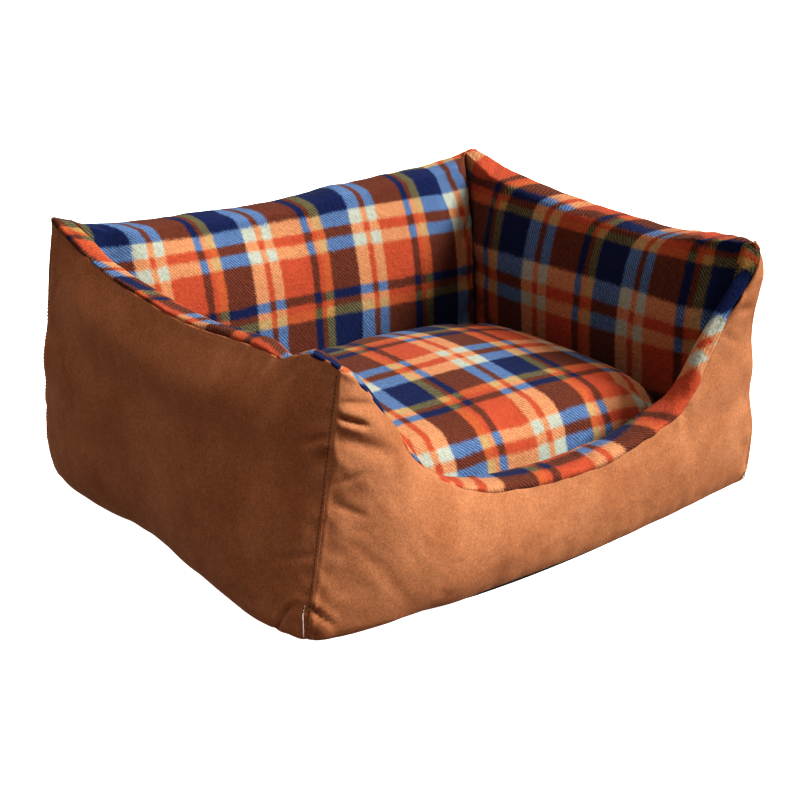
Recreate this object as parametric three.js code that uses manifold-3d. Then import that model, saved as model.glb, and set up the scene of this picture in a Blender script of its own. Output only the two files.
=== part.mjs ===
// A bolster bed for a small dog or cat: four stuffed walls round a padded floor, with a loose cushion.
// The walls are suede outside and plaid fleece inside, and the front wall has a scooped entry.
// Millimetres, +Z up. The origin is on the floor under the middle of the footprint.
// The long sides lie along X and the entry faces -Y.

import * as THREE from 'three';
import { mergeVertices } from 'three/addons/utils/BufferGeometryUtils.js';
import Module from 'manifold-3d';

const wasm = await Module();
wasm.setup();

// ---------------------------------------------------------------- driving dimensions

const CLOTH = 1.2; // suede, fleece and base cloth are all about this thick
const GAP = 0.3; // air between pieces that touch
const SEAM_GAP = 0.5; // between the suede's top edge and the fleece
const SKIN = GAP + CLOTH; // from a filling's surface to the outside of its cover
const WALL_FOOT = 1.6; // underside of the walls, just above the base cloth
const LINING_FOOT = 13; // where the linings end, level with the floor liner

// Each corner: which way it faces, where its outer seam meets the floor, and where that seam peaks.
// flare is how far the bottom of the seam kicks out; innerFoot is the inside corner at floor level.
const CORNERS = {
  frontLeft: { faces: [-1, -1], foot: [-232, -182], peak: [-202, -178.5, 204], flare: 5, innerFoot: [-190, -152] },
  frontRight: { faces: [1, -1], foot: [231.5, -181], peak: [217, -180, 216.5], flare: 1, innerFoot: [190, -152] },
  backRight: { faces: [1, 1], foot: [233, 181.5], peak: [218.5, 176, 214], flare: 2, innerFoot: [190, 127] },
  backLeft: { faces: [-1, 1], foot: [-237, 185], peak: [-226, 178.5, 225], flare: 2, innerFoot: [-190, 127] },
};
const CORNER_PINCH = 9; // the rim narrows to this where the seams meet
const CORNER_RISE = 2.5; // height of the rolled rim above its seam, at a corner

// Each wall runs anticlockwise from one corner to the next. rim lists [fraction along the wall, height]
// for the seam between suede and fleece; its ends are the corner peaks.
const WALLS = {
  front: {
    from: 'frontLeft', to: 'frontRight', columns: 22, rollWidth: 28,
    rim: [[0.034, 191.8], [0.073, 172.6], [0.117, 146], [0.174, 114], [0.211, 101], [0.274, 87.5], [0.346, 79.3], [0.435, 74.8],
      [0.518, 73.1], [0.606, 74.8], [0.667, 78.2], [0.747, 86], [0.791, 94], [0.819, 104.4], [0.872, 133], [0.903, 151.2],
      [0.928, 167], [0.953, 182], [0.978, 197]],
  },
  right: { from: 'frontRight', to: 'backRight', columns: 10, rollWidth: 30, rim: [[0.06, 212.5], [0.12, 207.5], [0.3, 195], [0.56, 191], [0.77, 193], [0.96, 209]] },
  back: { from: 'backRight', to: 'backLeft', columns: 12, rollWidth: 24, rim: [[0.05, 209.5], [0.12, 202], [0.38, 198.5], [0.52, 194.5], [0.82, 202.5], [0.92, 212]] },
  left: { from: 'backLeft', to: 'frontLeft', columns: 14, rollWidth: 24, rim: [[0.075, 219], [0.21, 206], [0.39, 197], [0.55, 192.5], [0.85, 195.5], [0.92, 206.5], [0.96, 206.5]] },
};
const FOOT_BOW = 12; // how far the middle of a wall bows out at the floor,
const RIM_BOW = 8; // at the rim,
const OUTER_BELLY = 5; // and how much more at mid height
const INNER_BELLY = 5; // bulge of the lining into the well
const ROLL_RISE = 9; // height of the rolled rim above its seam
const OUTER_ROWS = 4;
const ROLL_ROWS = 4;
const INNER_ROWS = 4;

const PAD_THICKNESS = 10;
const FLOOR_EASE = 2.2; // the floor pieces stay this far inside the walls
const FLOOR_CORNER = 12; // their corner radius

const CUSHION = { halfWidth: 185, front: -148, rear: 117, squareness: 7, underside: 13.9, seam: 42, shoulder: 44, crown: 24 };
const CUSHION_RINGS = [1, 0.985, 0.94, 0.86, 0.7, 0.45, 0.2];
const CUSHION_SPOKES = 36;

// The zip is let into the rear of the cushion's seam.
const ZIP = { halfLength: 118, opening: 7, tapeWidth: 5.6, tapeThickness: 0.6, tapeY: 118.4, coil: 1.5, split: 1 };
const SLIDER = { length: 9, width: 8, plate: 0.9, x: -110 };

const COLOURS = {
  suede: 0xb8743f, fleece: 0xd8603a, baseCloth: 0x241f1d, wadding: 0xeceae4, liner: 0x6b4a35,
  tape: 0x6a4630, nylon: 0x59402f, metal: 0xa9a59c, whiteThread: 0xf2efe6, darkThread: 0x2c211b,
};

// ---------------------------------------------------------------- small helpers

const UP = new THREE.Vector3(0, 0, 1);
const { lerp, smoothstep } = THREE.MathUtils;

function material(colour, roughness = 0.95, metalness = 0) {
  return new THREE.MeshStandardMaterial({ color: colour, roughness, metalness });
}

function meshOf(name, geometry, finish) {
  const mesh = new THREE.Mesh(geometry, finish);
  mesh.name = name;
  return mesh;
}

function geometryOf(points, triangles) {
  const geometry = new THREE.BufferGeometry();
  geometry.setAttribute('position', new THREE.Float32BufferAttribute(points.flatMap((p) => p.toArray()), 3));
  geometry.setIndex(triangles.flat());
  geometry.computeVertexNormals();
  return geometry;
}

function toSolid(geometry) {
  const bare = geometry.clone();
  bare.deleteAttribute('normal');
  bare.deleteAttribute('uv');
  const merged = mergeVertices(bare, 1e-4);
  return new wasm.Manifold(new wasm.Mesh({
    numProp: 3,
    vertProperties: new Float32Array(merged.attributes.position.array),
    triVerts: new Uint32Array(merged.index.array),
  }));
}

function fromSolid(solid) {
  const mesh = solid.getMesh();
  const geometry = new THREE.BufferGeometry();
  geometry.setAttribute('position', new THREE.BufferAttribute(new Float32Array(mesh.vertProperties), 3));
  geometry.setIndex(new THREE.BufferAttribute(new Uint32Array(mesh.triVerts), 1));
  geometry.computeVertexNormals();
  return geometry;
}

function block(x0, x1, y0, y1, z0, z1) {
  const geometry = new THREE.BoxGeometry(x1 - x0, y1 - y0, z1 - z0);
  return geometry.translate((x0 + x1) / 2, (y0 + y1) / 2, (z0 + z1) / 2);
}

// ---------------------------------------------------------------- corners and walls

// The outer corner seam at a height.
function outerCorner(corner, z) {
  const up = z / corner.peak[2];
  const kick = corner.flare * Math.max(0, 1 - up) ** 6 + OUTER_BELLY * 0.5 * Math.sin(Math.PI * Math.min(up, 1));
  return new THREE.Vector3(
    lerp(corner.foot[0], corner.peak[0], up) + corner.faces[0] * kick,
    lerp(corner.foot[1], corner.peak[1], up) + corner.faces[1] * kick,
    z,
  );
}

function wallFrame(wall) {
  const along = new THREE.Vector3(
    Math.sign(CORNERS[wall.to].foot[0] - CORNERS[wall.from].foot[0]) * (wall === WALLS.front || wall === WALLS.back),
    Math.sign(CORNERS[wall.to].foot[1] - CORNERS[wall.from].foot[1]) * (wall === WALLS.left || wall === WALLS.right),
    0,
  );
  return { along, outward: new THREE.Vector3(along.y, -along.x, 0) };
}

// A smooth curve through the rim's heights.
function rimHeight(wall, t) {
  const ends = [[0, CORNERS[wall.from].peak[2]], [1, CORNERS[wall.to].peak[2]]];
  const knots = [ends[0], ...wall.rim, ends[1]];
  const slope = knots.map((k, i) => {
    const a = knots[Math.max(i - 1, 0)];
    const b = knots[Math.min(i + 1, knots.length - 1)];
    return (b[1] - a[1]) / (b[0] - a[0]);
  });
  const i = Math.min(knots.findIndex((k, n) => n > 0 && t <= k[0] + 1e-9), knots.length - 1) - 1;
  const span = knots[i + 1][0] - knots[i][0];
  const u = (t - knots[i][0]) / span;
  const u2 = u * u;
  const u3 = u2 * u;
  return (2 * u3 - 3 * u2 + 1) * knots[i][1] + (u3 - 2 * u2 + u) * span * slope[i]
    + (3 * u2 - 2 * u3) * knots[i + 1][1] + (u3 - u2) * span * slope[i + 1];
}

function outerPoint(wall, t, z) {
  const { outward } = wallFrame(wall);
  const up = z / 210;
  const arch = 1 - Math.abs(2 * t - 1) ** 2.4;
  const bow = lerp(FOOT_BOW, RIM_BOW, up) + OUTER_BELLY * Math.sin(Math.PI * Math.min(up, 1));
  return outerCorner(CORNERS[wall.from], z)
    .lerp(outerCorner(CORNERS[wall.to], z), t)
    .addScaledVector(outward, bow * arch);
}

function rimSeam(wall, t) {
  return outerPoint(wall, t, rimHeight(wall, t));
}

// Direction square to the seam, in the wall's plane, pointing off the suede.
function seamSquare(wall, t) {
  const { outward } = wallFrame(wall);
  const step = 0.01;
  const tangent = rimSeam(wall, Math.min(t + step, 1)).sub(rimSeam(wall, Math.max(t - step, 0)));
  return tangent.cross(outward.clone().negate()).normalize();
}

// Direction in which the rolled rim stands off its seam: square to it, but straight up at the corners.
function rimStand(wall, t) {
  const settle = smoothstep(Math.min(t, 1 - t), 0, 0.05);
  return UP.clone().lerp(seamSquare(wall, t), settle).normalize();
}

// One section of a wall: up the outside, over the rim and down the inside.
function wallSection(wall, t) {
  const { outward } = wallFrame(wall);
  const inward = outward.clone().negate();
  const from = CORNERS[wall.from];
  const to = CORNERS[wall.to];
  const fullness = 1 - Math.abs(2 * t - 1) ** 7;
  const seam = rimSeam(wall, t);
  const stand = rimStand(wall, t);

  const outer = [];
  for (let row = 0; row <= OUTER_ROWS; row += 1) {
    outer.push(outerPoint(wall, t, lerp(WALL_FOOT, seam.z, row / OUTER_ROWS)));
  }

  const cornerInward = new THREE.Vector3(
    -lerp(from.faces[0], to.faces[0], t) * CORNER_PINCH,
    -lerp(from.faces[1], to.faces[1], t) * CORNER_PINCH,
    0,
  );
  const across = cornerInward.clone().addScaledVector(inward, (wall.rollWidth - CORNER_PINCH) * fullness);
  const innerEdge = seam.clone().add(across).addScaledVector(stand, -2);
  const middle = seam.clone().lerp(innerEdge, 0.5);
  const halfAcross = innerEdge.clone().sub(seam).multiplyScalar(0.5);
  const rise = lerp(CORNER_RISE, ROLL_RISE, fullness);
  const roll = [];
  for (let row = 1; row < ROLL_ROWS; row += 1) {
    const angle = (Math.PI * row) / ROLL_ROWS;
    roll.push(middle.clone()
      .addScaledVector(halfAcross, -Math.cos(angle))
      .addScaledVector(stand, rise * Math.sin(angle)));
  }

  const foot = new THREE.Vector3(
    lerp(from.innerFoot[0], to.innerFoot[0], t),
    lerp(from.innerFoot[1], to.innerFoot[1], t),
    LINING_FOOT,
  );
  const inner = [];
  for (let row = 0; row <= INNER_ROWS; row += 1) {
    const down = row / INNER_ROWS;
    const belly = INNER_BELLY * fullness * Math.sin(Math.PI * down);
    inner.push(innerEdge.clone().lerp(foot, down).addScaledVector(inward, belly));
  }
  return [...outer, ...roll, ...inner];
}

// Fractions along a wall, closer together towards the corners.
function wallColumns(wall) {
  return Array.from({ length: wall.columns + 1 }, (_, column) => {
    const even = column / wall.columns;
    const crowded = 0.5 - 0.5 * Math.cos(Math.PI * even);
    return lerp(even, crowded, 0.55);
  });
}

function wallGrid(wall) {
  return wallColumns(wall).map((t) => wallSection(wall, t));
}

// Offset directions of a wall grid; the end columns are mitred with the neighbouring wall.
function gridNormals(wall, grid) {
  const { along, outward } = wallFrame(wall);
  const last = grid.length - 1;
  return grid.map((section, column) => section.map((point, row) => {
    const before = grid[Math.max(column - 1, 0)][row];
    const after = grid[Math.min(column + 1, last)][row];
    const below = section[Math.max(row - 1, 0)];
    const above = section[Math.min(row + 1, section.length - 1)];
    const normal = after.clone().sub(before).cross(above.clone().sub(below)).normalize();
    if (column > 0 && column < last) return normal;
    normal.addScaledVector(along, -normal.dot(along)).normalize();
    const neighbour = along.clone().multiplyScalar(column === 0 ? -1 : 1);
    return normal.clone().addScaledVector(neighbour, normal.dot(outward));
  }));
}

// Moves a grid along its normals and draws its end columns in by the gap between neighbouring walls.
function offsetGrid(wall, grid, normals, distance) {
  const { along } = wallFrame(wall);
  const last = grid.length - 1;
  return grid.map((section, column) => section.map((point, row) => {
    const moved = point.clone().addScaledVector(normals[column][row], distance);
    if (column === 0) moved.addScaledVector(along, GAP);
    if (column === last) moved.addScaledVector(along, -GAP);
    return moved;
  }));
}

// ---------------------------------------------------------------- solids from grids

// A closed sheet between an inside grid and an outside grid.
function sheetGeometry(inside, outside) {
  const columns = outside.length;
  const rows = outside[0].length;
  const points = [...outside.flat(), ...inside.flat()];
  const out = (c, r) => c * rows + r;
  const back = (c, r) => columns * rows + c * rows + r;
  const triangles = [];
  const quad = (a, b, c, d) => triangles.push([a, b, c], [a, c, d]);
  for (let c = 0; c < columns - 1; c += 1) {
    for (let r = 0; r < rows - 1; r += 1) {
      quad(out(c, r), out(c + 1, r), out(c + 1, r + 1), out(c, r + 1));
      quad(back(c, r), back(c, r + 1), back(c + 1, r + 1), back(c + 1, r));
    }
    quad(back(c, 0), back(c + 1, 0), out(c + 1, 0), out(c, 0));
    quad(out(c, rows - 1), out(c + 1, rows - 1), back(c + 1, rows - 1), back(c, rows - 1));
  }
  for (let r = 0; r < rows - 1; r += 1) {
    quad(out(0, r), out(0, r + 1), back(0, r + 1), back(0, r));
    quad(back(columns - 1, r), back(columns - 1, r + 1), out(columns - 1, r + 1), out(columns - 1, r));
  }
  return geometryOf(points, triangles);
}

// A closed bar whose sections are loops, with flat ends.
function barGeometry(loops) {
  const count = loops[0].length;
  const last = loops.length - 1;
  const points = loops.flat();
  const at = (loop, i) => loop * count + (i % count);
  const triangles = [];
  for (let loop = 0; loop < last; loop += 1) {
    for (let i = 0; i < count; i += 1) {
      triangles.push([at(loop, i), at(loop + 1, i), at(loop + 1, i + 1)]);
      triangles.push([at(loop, i), at(loop + 1, i + 1), at(loop, i + 1)]);
    }
  }
  for (const loop of [0, last]) {
    const start = loops[loop][0];
    const flat = loops[loop].map((p) => new THREE.Vector2(Math.hypot(p.x - start.x, p.y - start.y), p.z));
    for (const [a, b, c] of THREE.ShapeUtils.triangulateShape(flat, [])) {
      const turn = flat[b].clone().sub(flat[a]).cross(flat[c].clone().sub(flat[a]));
      const outwards = loop === 0 ? turn < 0 : turn > 0;
      triangles.push(outwards ? [at(loop, a), at(loop, b), at(loop, c)] : [at(loop, a), at(loop, c), at(loop, b)]);
    }
  }
  return geometryOf(points, triangles);
}

// ---------------------------------------------------------------- wall pieces

function wallPieces(name, wall) {
  const grid = wallGrid(wall);
  const normals = gridNormals(wall, grid);
  const surface = offsetGrid(wall, grid, normals, 0);
  const under = offsetGrid(wall, grid, normals, GAP);
  const over = offsetGrid(wall, grid, normals, SKIN);

  const loops = surface.map((section) => {
    const innerFoot = section.at(-1).clone();
    innerFoot.z = WALL_FOOT;
    return [...section, innerFoot];
  });

  // The suede stops just short of the seam, where the fleece begins.
  const columns = wallColumns(wall);
  const suede = (layer) => layer.map((section, column) => {
    const rows = section.slice(0, OUTER_ROWS);
    const top = section[OUTER_ROWS].clone().addScaledVector(seamSquare(wall, columns[column]), -SEAM_GAP);
    return [...rows, top];
  });
  const fleece = (layer) => layer.map((section) => section.slice(OUTER_ROWS));

  return [
    meshOf(`${name}_wall_filling`, barGeometry(loops), material(COLOURS.wadding)),
    meshOf(`${name}_outer_panel`, sheetGeometry(suede(under), suede(over)), material(COLOURS.suede)),
    meshOf(`${name}_lining_panel`, sheetGeometry(fleece(under), fleece(over)), material(COLOURS.fleece)),
  ];
}

// ---------------------------------------------------------------- floor pieces

// Outline of the walls at floor level, moved outwards by an offset.
function footprint(offset) {
  const corners = [];
  for (const wall of Object.values(WALLS)) {
    const grid = wallGrid(wall);
    const normals = gridNormals(wall, grid);
    grid.slice(0, -1).forEach(([point], column) => {
      const away = normals[column][0];
      corners.push(new THREE.Vector2(point.x + away.x * offset, point.y + away.y * offset));
    });
  }
  return new THREE.Shape(corners);
}

// Rounded rectangle that fills the floor between the walls.
function floorShape() {
  const [left, front] = CORNERS.frontLeft.innerFoot.map((v) => v + FLOOR_EASE);
  const [right, rear] = CORNERS.backRight.innerFoot.map((v) => v - FLOOR_EASE);
  const shape = new THREE.Shape();
  shape.absarc(right - FLOOR_CORNER, front + FLOOR_CORNER, FLOOR_CORNER, -Math.PI / 2, 0);
  shape.absarc(right - FLOOR_CORNER, rear - FLOOR_CORNER, FLOOR_CORNER, 0, Math.PI / 2);
  shape.absarc(left + FLOOR_CORNER, rear - FLOOR_CORNER, FLOOR_CORNER, Math.PI / 2, Math.PI);
  shape.absarc(left + FLOOR_CORNER, front + FLOOR_CORNER, FLOOR_CORNER, Math.PI, Math.PI * 1.5);
  return shape;
}

function slab(name, shape, bottom, top, finish) {
  const depth = top - bottom;
  const geometry = new THREE.ExtrudeGeometry(shape, { depth, curveSegments: 5, bevelEnabled: false });
  geometry.translate(0, 0, bottom);
  return meshOf(name, geometry, finish);
}

function floorPieces() {
  const padTop = WALL_FOOT + PAD_THICKNESS;
  const inside = floorShape();
  return [
    slab('base_cloth', footprint(SKIN - 0.5), 0, CLOTH, material(COLOURS.baseCloth)),
    slab('base_pad', inside, WALL_FOOT, padTop, material(COLOURS.wadding)),
    slab('floor_liner', inside, padTop + GAP, padTop + GAP + CLOTH, material(COLOURS.liner)),
  ];
}

// ---------------------------------------------------------------- cushion

// A point of the cushion's surface: ring is 1 at the seam and 0 in the middle.
function cushionPoint(ring, angle, inset, upper) {
  const { halfWidth, front, rear, squareness, underside, seam, shoulder, crown } = CUSHION;
  const squared = (value) => Math.sign(value) * Math.abs(value) ** (2 / squareness);
  const edge = Math.sqrt(Math.max(0, 1 - ring ** 7));
  const above = (shoulder - inset) * edge + crown * (1 - ring * ring);
  const below = Math.min((seam - underside - inset) * edge * 1.06, seam - underside - inset);
  return new THREE.Vector3(
    (halfWidth - inset) * squared(Math.cos(angle)) * ring,
    (front + rear) / 2 + ((rear - front) / 2 - inset) * squared(Math.sin(angle)) * ring,
    upper ? seam + above : seam - below,
  );
}

// Rows of points from the seam to the middle, then the middle point itself.
function cushionRows(inset, upper, lift) {
  const rows = CUSHION_RINGS.map((ring) => {
    const row = [];
    for (let spoke = 0; spoke < CUSHION_SPOKES; spoke += 1) {
      const point = cushionPoint(ring, (2 * Math.PI * spoke) / CUSHION_SPOKES, inset, upper);
      if (ring === 1) point.z += lift;
      row.push(point);
    }
    return row;
  });
  return { rows, middle: cushionPoint(0, 0, inset, upper) };
}

// Triangles of one cushion face; facing +1 looks up, -1 looks down.
function cushionFace({ rows }, offset, facing) {
  const triangles = [];
  const push = (a, b, c) => triangles.push(facing > 0 ? [a, b, c] : [a, c, b]);
  const at = (row, spoke) => offset + row * CUSHION_SPOKES + (spoke % CUSHION_SPOKES);
  const middle = offset + rows.length * CUSHION_SPOKES;
  for (let spoke = 0; spoke < CUSHION_SPOKES; spoke += 1) {
    for (let row = 0; row < rows.length - 1; row += 1) {
      push(at(row, spoke), at(row, spoke + 1), at(row + 1, spoke + 1));
      push(at(row, spoke), at(row + 1, spoke + 1), at(row + 1, spoke));
    }
    push(at(rows.length - 1, spoke), at(rows.length - 1, spoke + 1), middle);
  }
  return triangles;
}

function bandTriangles(first, second) {
  const triangles = [];
  for (let spoke = 0; spoke < CUSHION_SPOKES; spoke += 1) {
    const next = (spoke + 1) % CUSHION_SPOKES;
    triangles.push([first + spoke, second + spoke, second + next], [first + spoke, second + next, first + next]);
  }
  return triangles;
}

function facePoints({ rows, middle }) {
  return [...rows.flat(), middle];
}

// One half of the cover: a shell open at the seam.
function cushionCover(upper) {
  const side = upper ? 1 : -1;
  const outside = cushionRows(0, upper, side * GAP);
  const inside = cushionRows(CLOTH, upper, side * GAP);
  const points = [...facePoints(outside), ...facePoints(inside)];
  const second = facePoints(outside).length;
  const band = upper ? bandTriangles(0, second) : bandTriangles(second, 0);
  return geometryOf(points, [
    ...cushionFace(outside, 0, side),
    ...cushionFace(inside, second, -side),
    ...band,
  ]);
}

function cushionFilling() {
  const top = cushionRows(SKIN, true, GAP);
  const bottom = cushionRows(SKIN, false, -GAP);
  const second = facePoints(top).length;
  return geometryOf(
    [...facePoints(top), ...facePoints(bottom)],
    [...cushionFace(top, 0, 1), ...cushionFace(bottom, second, -1), ...bandTriangles(0, second)],
  );
}

function cushionPieces() {
  const reach = ZIP.halfLength + 2;
  const opening = toSolid(block(-reach, reach, CUSHION.rear - 12, CUSHION.rear + 8,
    CUSHION.seam - ZIP.opening, CUSHION.seam + ZIP.opening));
  const cut = (geometry) => fromSolid(toSolid(geometry).subtract(opening));
  return [
    meshOf('cushion_top_cover', cut(cushionCover(true)), material(COLOURS.fleece)),
    meshOf('cushion_bottom_cover', cut(cushionCover(false)), material(COLOURS.fleece)),
    meshOf('cushion_filling', cushionFilling(), material(COLOURS.wadding)),
  ];
}

// ---------------------------------------------------------------- zip

// One side of the zip: a tape with its row of teeth on the outside; side is +1 above, -1 below.
function zipSide(name, side) {
  const near = CUSHION.seam + side * (ZIP.split / 2);
  const tapeEnd = near + side * ZIP.tapeWidth;
  const coilEnd = near + side * ZIP.coil;
  const coilY = ZIP.tapeY + ZIP.tapeThickness + GAP;
  const reach = ZIP.halfLength;
  return [
    meshOf(`zip_${name}_tape`, block(-reach, reach, ZIP.tapeY, ZIP.tapeY + ZIP.tapeThickness,
      Math.min(near, tapeEnd), Math.max(near, tapeEnd)), material(COLOURS.tape)),
    meshOf(`zip_${name}_teeth`, block(3 - reach, reach - 3, coilY, coilY + ZIP.coil,
      Math.min(near, coilEnd), Math.max(near, coilEnd)), material(COLOURS.nylon, 0.5)),
  ];
}

function zipStop(name, end) {
  const x = end * (ZIP.halfLength - 1.4);
  const coilY = ZIP.tapeY + ZIP.tapeThickness + GAP;
  return meshOf(name, block(x - 1, x + 1, coilY, coilY + ZIP.coil,
    CUSHION.seam - ZIP.coil - 0.5, CUSHION.seam + ZIP.coil + 0.5), material(COLOURS.metal, 0.4, 0.8));
}

// Two plates joined by a web that runs between the rows of teeth, with a lug in place of a pull tab.
function zipSlider() {
  const { length, width, plate, x } = SLIDER;
  const rear = ZIP.tapeY - GAP;
  const front = ZIP.tapeY + ZIP.tapeThickness + ZIP.coil + 2 * GAP;
  const web = ZIP.split / 2 - 0.2;
  const z = CUSHION.seam;
  const half = length / 2;
  const back = toSolid(block(x - half, x + half, rear - plate, rear, z - width / 2, z + width / 2));
  const face = toSolid(block(x - half, x + half, front, front + plate, z - width / 2, z + width / 2));
  const post = toSolid(block(x - half, x - half + 3, rear - 0.4, front + 0.4, z - web, z + web));
  const lug = toSolid(block(x - 2.4, x + 2.4, front + plate - 0.3, front + plate + 1.4, z - 0.8, z + 0.8));
  return meshOf('zip_slider', fromSolid(back.add(face).add(post).add(lug)), material(COLOURS.metal, 0.4, 0.8));
}

// ---------------------------------------------------------------- loose threads at the front corners

function thread(name, wall, t, fromZ, toZ, radius, finish) {
  const { outward } = wallFrame(wall);
  const points = [fromZ, lerp(fromZ, toZ, 0.5), toZ].map((z) => outerPoint(wall, t, z)
    .addScaledVector(outward, SKIN + GAP + radius * 2));
  const path = new THREE.CatmullRomCurve3(points);
  const section = new THREE.Shape().absarc(0, 0, radius, 0, 2 * Math.PI);
  const geometry = new THREE.ExtrudeGeometry(section, { steps: 6, curveSegments: 4, extrudePath: path, bevelEnabled: false });
  return meshOf(name, geometry, finish);
}

// ---------------------------------------------------------------- assembly

const bed = new THREE.Group();
for (const [name, wall] of Object.entries(WALLS)) {
  bed.add(...wallPieces(name, wall));
}
bed.add(...floorPieces());
bed.add(
  thread('corner_tack_thread', WALLS.left, 0.985, 2.5, 25, 0.45, material(COLOURS.whiteThread)),
  thread('corner_thread_tail', WALLS.front, 0.98, 2.5, 9, 0.4, material(COLOURS.darkThread)),
);

const cushion = new THREE.Group();
cushion.add(...cushionPieces(), ...zipSide('upper', 1), ...zipSide('lower', -1));
cushion.add(zipStop('zip_left_stop', -1), zipStop('zip_right_stop', 1), zipSlider());
bed.add(cushion);

export default bed;
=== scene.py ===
"""Looks of the bolster pet bed: stuffed suede walls, plaid fleece lining, scooped entry and loose cushion.

Shapes are worked out in millimetres and turned into metres when a mesh is made. +X runs along the long side,
+Y from the entry to the back wall and +Z up, with the origin on the floor under the middle of the bed.
"""

import math

import bmesh
import bpy
import numpy as np
from mathutils import Matrix, Vector


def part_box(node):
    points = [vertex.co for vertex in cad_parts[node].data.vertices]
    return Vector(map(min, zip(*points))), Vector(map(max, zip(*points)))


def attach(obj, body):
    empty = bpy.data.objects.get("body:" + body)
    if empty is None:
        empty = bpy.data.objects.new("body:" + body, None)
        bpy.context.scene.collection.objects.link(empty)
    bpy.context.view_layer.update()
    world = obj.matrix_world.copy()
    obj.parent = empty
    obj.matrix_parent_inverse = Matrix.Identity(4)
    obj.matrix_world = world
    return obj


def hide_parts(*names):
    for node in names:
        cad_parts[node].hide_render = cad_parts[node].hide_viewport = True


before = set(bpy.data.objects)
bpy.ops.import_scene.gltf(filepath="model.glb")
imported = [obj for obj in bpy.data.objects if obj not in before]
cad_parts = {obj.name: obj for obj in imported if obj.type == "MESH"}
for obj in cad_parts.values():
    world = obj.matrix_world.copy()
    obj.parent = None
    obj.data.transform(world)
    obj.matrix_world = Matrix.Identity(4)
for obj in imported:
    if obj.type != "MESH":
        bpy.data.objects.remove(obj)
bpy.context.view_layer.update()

MM = 0.001
SKIN = 1.5          # cloth and air outside a wall's filling
CLOTH = 1.2         # thickness of suede and fleece

# ------------------------------------------------------------------ shape of the walls, as in the CAD model

# Each corner: which way it faces, where its seam meets the floor and peaks, where the lining meets the floor,
# the seed of its unevenness, how far the seam stands out at the foot (flare), at mid height (belly) and just
# under the peak (crest), how narrow the roll gets (pinch), and how far the stuffing rounds out the long and
# the short wall beside it (puff).
CORNERS = {
    "front_left": dict(faces=(-1, -1), foot=(-232, -182), peak=(-202, -178.5, 204), inner=(-190, -152),
                       sway=3, flare=5, belly=-4, crest=0, pinch=9, puff=(25, 16)),
    "front_right": dict(faces=(1, -1), foot=(231.5, -181), peak=(217, -180, 216.5), inner=(190, -152),
                        sway=8, flare=1, belly=-1, crest=8, pinch=9, puff=(10, 4)),
    "back_right": dict(faces=(1, 1), foot=(233, 181.5), peak=(218.5, 176, 214), inner=(190, 127), sway=5,
                       flare=2, belly=2.5, crest=0, pinch=13, puff=(9, 9)),
    "back_left": dict(faces=(-1, 1), foot=(-237, 185), peak=(-229, 180.5, 227), inner=(-190, 127), sway=6,
                      flare=2, belly=4, crest=0, pinch=9, puff=(10, 8)),
}
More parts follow.
